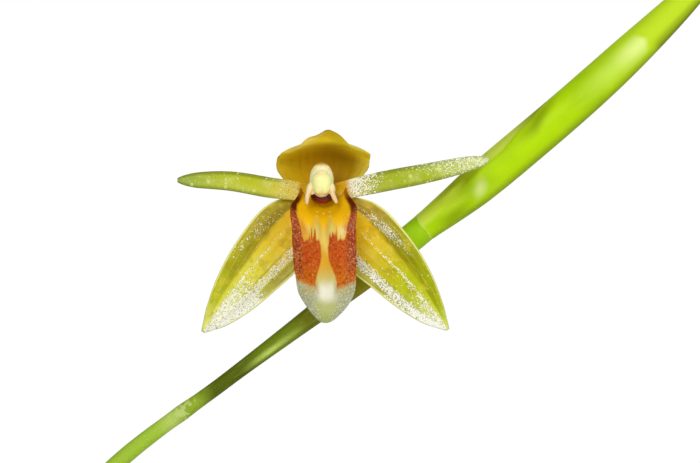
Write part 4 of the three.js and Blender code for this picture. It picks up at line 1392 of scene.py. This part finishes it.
def lipFinish():
    finish = tissue("lip", roughness=0.55, coat=0.05)
    across, along = finish.surface()
    wobble = finish.clouds(2600, detail=4, roughness=0.6) - 0.5
    streak = finish.clouds(1, finish.stretched(across * 26, along * 3), detail=2)
    sided = across * 2 - 1
    s = abs(sided) + wobble * 0.06
    t = along + wobble * 0.03
    colour = finish.mix(s.between(0.3, 0.6) + t.between(0.14, 0.24), lip["deepGold"], lip["gold"])
    # painted shade darkens the throat at the lip's foot, under the column
    colour = finish.mix(t.between(0.04, 0.0) * 0.4, colour, lip["throatShade"])
    # painted highlights: the wet shine of the callus, in two rows of dots above two keels
    outer = t.near(0.14, 0.02) + t.near(0.2, 0.02)
    callusGlints = s.near(0, 0.06) * t.near(0.15, 0.02) + s.near(0.2, 0.06) * outer
    colour = finish.mix(callusGlints, colour, lip["callus"])
    # the pale folds on each side are cream, whitened further by painted highlights
    folds = s.near(0.56, 0.2) * t.near(0.325, 0.08)
    cream = t.between(0.25, 0.35) * 0.8 + s.near(0.22, 0.09) * t.between(0.18, 0.25) * 0.6
    colour = finish.mix(cream, colour, finish.mix(folds * 0.8, lip["cream"], lip["paleFoldHighlight"]))
    colour = finish.mix((t + sided * 0.3).between(0.42, 0.51), colour, lip["stripe"])
    # pale towards the tip, greyer at its sides and green at its end
    tipColour = finish.mix(s.between(0.1, 0.55), lip["white"], lip["grey"])
    sandy = t.between(0.83, 0.74) * s.between(0.2, 0.32) * s.between(0.95, 0.7)
    tipColour = finish.mix(sandy * 0.85, tipColour, lip["sandy"])
    tipColour = finish.mix(t.between(0.79, 0.88) * s.between(0.75, 0.3) * 0.9, tipColour, lip["tipGreen"])
    ribs = t.between(0.88, 1.0) * (streak.between(0.4, 0.6) * 0.6 + 0.3) * s.between(0.9, 0.5)
    tipColour = finish.mix(ribs, tipColour, lip["tipDeep"])
    dull = finish.flecks(15000, s.between(0.2, 0.8) * 0.35, 1) * 0.5
    tipColour = finish.mix(dull, tipColour, lip["greyDark"])
    tipColour = finish.mix(finish.flecks(17000, s.between(0.2, 0.6) * 0.2) * 0.5, tipColour, lip["white"])
    colour = finish.mix(t.between(0.56, 0.68), colour, lip["olive"])
    colour = finish.mix((t + s * 0.03).between(0.66, 0.76), colour, tipColour)
    # the red climbs in spikes beside the keels and in a band along the margin
    spikes = streak.between(0.44, 0.58) * s.near(0.34, 0.24) * 0.085
    start = 0.39 + wobble * 0.07 - spikes - s.between(0.6, 0.88) * 0.2
    inner = 0.17 - t.between(0.38, 0.46) * 0.06 + t.between(0.5, 0.72) * 0.22
    patch = (t - start).between(-0.015, 0.02) * (s - inner).between(-0.02, 0.04)
    patch = patch * (t + s * 0.075 + sided * 0.02).between(0.79, 0.74)
    outerBand = s.between(0.58, 0.82)
    mottle = finish.clouds(5200, detail=4, roughness=0.7)
    red = finish.mix(t.between(0.5, 0.7), lip["red"], lip["rust"])
    red = finish.mix(outerBand * t.between(0.7, 0.56) * 0.75, red, lip["purple"])
    red = finish.mix(mottle.between(0.5, 0.62) * (0.35 + sided.between(0.5, 0.9) * 0.35), red, lip["tan"])
    red = finish.mix(mottle.between(0.48, 0.38) * 0.45, red, lip["soot"])
    red = finish.mix(finish.flecks(14000, 0.08 + outerBand * 0.2, 1) * 0.5, red, lip["soot"])
    red = finish.mix(finish.flecks(15000, 0.02 + outerBand * 0.15, 2) * 0.55, red, lip["fleck"])
    # orange grains go before the red along the margin
    fringe = s.between(0.5, 0.72) * t.near(0.3, 0.12)
    colour = finish.mix(fringe * 0.35 + finish.flecks(12000, fringe * 0.5, 2) * 0.4, colour, lip["tan"])
    colour = finish.mix(patch, colour, red)
    # the dark edges of the raised sides are partly their own red-brown and partly painted shade
    edge = (s + t.between(0.12, 0.2) * 0.04).between(0.78, 0.9) * t.between(0.24, 0.19)
    colour = finish.mix(edge, colour, finish.mix(t.between(0.03, 0.11), lip["edgeBrown"], lip["darkEdgeAndShade"]))
    finish.give("Base Color", colour)
    return glisten(finish, 7200)


def lipPiece():
    def relief(t, s):
        keel = 0.3 * math.exp(-(((abs(s) - 0.24) / 0.1) ** 2) - ((t - 0.33) / 0.07) ** 2)
        channel = 0.16 * math.sin(math.pi * t) * math.exp(-((s / 0.2) ** 2))
        return keel - channel

    piece = bladeAlong("lip_tongue", flowerRoute(lip["route"]), -sideways, lambda t, s: lip["half"](t),
                       lip["grid"], lip["thickness"], curl=lip["curl"], lift=relief)
    return dress(piece, lipFinish(), "lip", "lip")


# The column with its two arms and its hollow, and the anther cap at its end

column = {
    "shaft": [(0, 0.2, 0.1), (-0.03, -0.8, 0.55), (-0.06, -1.7, 0.85), (-0.08, -2.3, 0.95)],
    "shaftRadius": through((0, 0.5), (0.5, 0.56), (1, 0.74)),
    "helmetCentre": (-0.08, -2.15, 0.78),
    "helmetSize": (0.8, 0.7, 1.17),
    "armRadius": through((0, 0.24), (0.28, 0.27), (0.5, 0.19), (0.85, 0.15), (1, 0.09)),
    "arms": {
        -1: [(-0.52, -2.15, 0.62), (-0.8, -2.4, 0.28), (-1.0, -2.55, -0.2), (-1.06, -2.65, -0.84)],
        1: [(0.36, -2.15, 0.62), (0.56, -2.4, 0.28), (0.68, -2.55, -0.2), (0.93, -2.65, -0.78)],
    },
    "web": (0.3, 0.1, 0.34),
    "hollowCentre": (-0.06, -1.75, -0.3),
    "hollowSize": (0.74, 0.5, 0.53),
    "shaftGrid": (24, 24),
    "armGrid": (16, 30),
    "voxel": 0.05,
    "cream": paint(255, 244, 184),
    "rose": paint(240, 206, 150),
    "brown": paint(192, 142, 40),
    "maroon": paint(76, 6, 0),
    "scarlet": paint(136, 18, 2),
}
anther = {
    "centre": (-0.07, -2.5, 0.66),
    "size": (0.67, 0.56, 0.84),
    "lemon": paint(252, 249, 166),
    "cream": paint(252, 234, 172),
    "seam": paint(224, 216, 120),
}


def ellipsoid(name, centre, sizes, segments=48):
    bpy.ops.object.select_all(action="DESELECT")
    bpy.ops.mesh.primitive_uv_sphere_add(segments=segments, ring_count=segments // 2, radius=1)
    piece = bpy.context.active_object
    piece.name = name
    for vertex in piece.data.vertices:
        sized = Vector([axis * size for axis, size in zip(vertex.co, sizes)])
        vertex.co = (flowerAt + Vector(centre) + sized) * mm
    return piece


def columnFinish():
    finish = tissue("column", roughness=0.36, coat=0.35, glow=0.25)
    height = finish.height() - flowerAt.z
    cloudy = finish.clouds(2200, detail=3)
    colour = finish.mix((height + cloudy * 0.6).between(0.2, 0.9), column["rose"], column["cream"])
    # brownish blotches, and an amber top to the column
    browned = cloudy.between(0.55, 0.75) * 0.3 + height.between(1.62, 1.88) * 0.9
    colour = finish.mix(browned, colour, column["brown"])
    finish.give("Base Color", colour)
    return finish.relief(cloudy, 0.04, 0.4)


def stigmaFinish():
    finish = tissue("stigma", roughness=0.2, coat=0.6)
    cloudy = finish.clouds(2600, detail=3)
    height = finish.height() - flowerAt.z
    colour = finish.mix((height + cloudy * 0.2).between(-0.35, -0.6), column["maroon"], column["scarlet"])
    finish.give("Base Color", colour)
    return finish.relief(cloudy, 0.05, 0.5)


def antherFinish():
    finish = tissue("anther cap", roughness=0.3, coat=0.4, glow=0.2)
    height = finish.height() - flowerAt.z
    cloudy = finish.clouds(3000, detail=3)
    colour = finish.mix((height + cloudy * 0.3).between(1.0, 1.5), anther["lemon"], anther["cream"])
    colour = finish.mix((height + cloudy * 0.1).near(1.22, 0.09) * 0.3, colour, anther["seam"])
    finish.give("Base Color", colour)
    return finish.relief(cloudy, 0.03, 0.3)


def columnPieces():
    parts = [
        stemAlong("shaft", flowerRoute(column["shaft"]), lambda t, angle: column["shaftRadius"](t),
                  column["shaftGrid"], sideways),
        ellipsoid("helmet", column["helmetCentre"], column["helmetSize"]),
    ]
    for mirror in (-1, 1):
        route = flowerRoute(column["arms"][mirror])
        arm = stemAlong("arm", route, lambda t, angle: column["armRadius"](t), column["armGrid"], sideways)
        web = ellipsoid("web", (mirror * 0.64 - 0.08, -2.4, 0.12), column["web"], 24)
        parts += [arm, web]
    piece = joined("column_body", parts)
    modify(piece, "REMESH", mode="VOXEL", voxel_size=column["voxel"] * mm)
    modify(piece, "SMOOTH", factor=0.5, iterations=3)
    dress(piece, columnFinish(), "column", "column")
    stigma = ellipsoid("stigma", column["hollowCentre"], column["hollowSize"])
    dress(stigma, stigmaFinish(), "column")
    cap = ellipsoid("anther_cap", anther["centre"], anther["size"])
    for vertex in cap.data.vertices:
        away = vertex.co / mm - flowerAt - Vector(anther["centre"])
        groove = 0.06 * math.exp(-((away.x / 0.08) ** 2)) * softStep(0.2, -0.6, away.z)
        shoulder = 0.06 * math.exp(-(((away.z - 0.5) / 0.12) ** 2))
        blunt = softStep(-0.3, -0.8, away.z)
        scallop = 0.03 * blunt * math.cos(13 * away.x)
        vertex.co += Vector((0.16 * blunt * away.x, groove + shoulder, scallop)) * mm
    dress(cap, antherFinish(), "anther", "anther")


# Camera, light and floor

view = {
    "lookAt": flowerAt + Vector((1.8, 0, -2.633)),
    "distance": 260,
    "frameWidth": 700 / 15,  # the photo is 700 pixels wide, and 15 of them are a millimetre
    "sensor": 36,
}


def camera():
    data = bpy.data.cameras.new("camera")
    data.sensor_width = view["sensor"]
    data.lens = view["sensor"] * view["distance"] / view["frameWidth"]
    data.clip_start = 0.01
    data.clip_end = 20
    eye = bpy.data.objects.new("camera", data)
    eye.location = (view["lookAt"] - view["distance"] * backwards) * mm
    eye.rotation_euler = (math.pi / 2, 0, 0)
    bpy.context.collection.objects.link(eye)
    bpy.context.scene.camera = eye


# Each softbox aims at the flower: where it stands, its width and its power
lights = {
    "key": ((-30, -340, 260), 150, 0.62),
    "fill": ((260, -260, 160), 260, 0.3),
    "back": ((120, 360, 330), 260, 0.7),
}
room = {
    "skyStrength": 0.36,
    "backdropStrength": 1.02,
    "floorRadius": 1500,
    "floorGrey": paint(236, 236, 232),
    "floorWhite": paint(242, 242, 239),
}


def softbox(name, place, size, watts):
    data = bpy.data.lights.new(name, "AREA")
    data.shape = "DISK"
    data.size = size * mm
    data.energy = watts
    lamp = bpy.data.objects.new(name, data)
    lamp.location = Vector(place) * mm
    lamp.rotation_euler = (flowerAt - Vector(place)).to_track_quat("-Z", "Y").to_euler()
    bpy.context.collection.objects.link(lamp)


def studio():
    for name, (place, size, watts) in lights.items():
        softbox(name, place, size, watts)
    world = bpy.data.worlds.new("studio")
    bpy.context.scene.world = world
    world.use_nodes = True
    nodes, links = world.node_tree.nodes, world.node_tree.links
    sky = nodes["Background"]
    sky.inputs["Color"].default_value = (1, 1, 1, 1)
    sky.inputs["Strength"].default_value = room["skyStrength"]
    backdrop = nodes.new("ShaderNodeBackground")
    backdrop.inputs["Color"].default_value = (1, 1, 1, 1)
    backdrop.inputs["Strength"].default_value = room["backdropStrength"]
    pick = nodes.new("ShaderNodeMixShader")
    links.new(nodes.new("ShaderNodeLightPath").outputs["Is Camera Ray"], pick.inputs[0])
    links.new(sky.outputs[0], pick.inputs[1])
    links.new(backdrop.outputs[0], pick.inputs[2])
    links.new(pick.outputs[0], nodes["World Output"].inputs[0])
    bpy.context.scene.view_settings.view_transform = "Standard"
    bpy.context.scene.view_settings.look = "None"


def paleFloor():
    bpy.ops.object.select_all(action="DESELECT")
    bpy.ops.mesh.primitive_circle_add(vertices=128, radius=room["floorRadius"] * mm, fill_type="NGON")
    floor = bpy.context.active_object
    floor.name = "floor"
    finish = Finish("pale floor", {"Roughness": 0.8, "Specular IOR Level": 0.2})
    mottled = finish.clouds(40, detail=3)
    finish.give("Base Color", finish.mix(mottled, room["floorGrey"], room["floorWhite"]))
    floor.data.materials.append(finish.material)


clayPot()
pottingBark([(row["x"], row["y"], row["radius"] + 3) for row in bulbs])
creepingRhizome()
rootPieces()
pseudobulbs()
drySheaths()
shootSheaths()
leaves()
leaningScape()
wrappedBuds()
ribbedOvary()
flowerCup()
hoodPiece()
lateralSepal("left", -1)
lateralSepal("right", 1)
petalPiece("left", -1)
petalPiece("right", 1)
lipPiece()
columnPieces()
camera()
studio()
paleFloor()
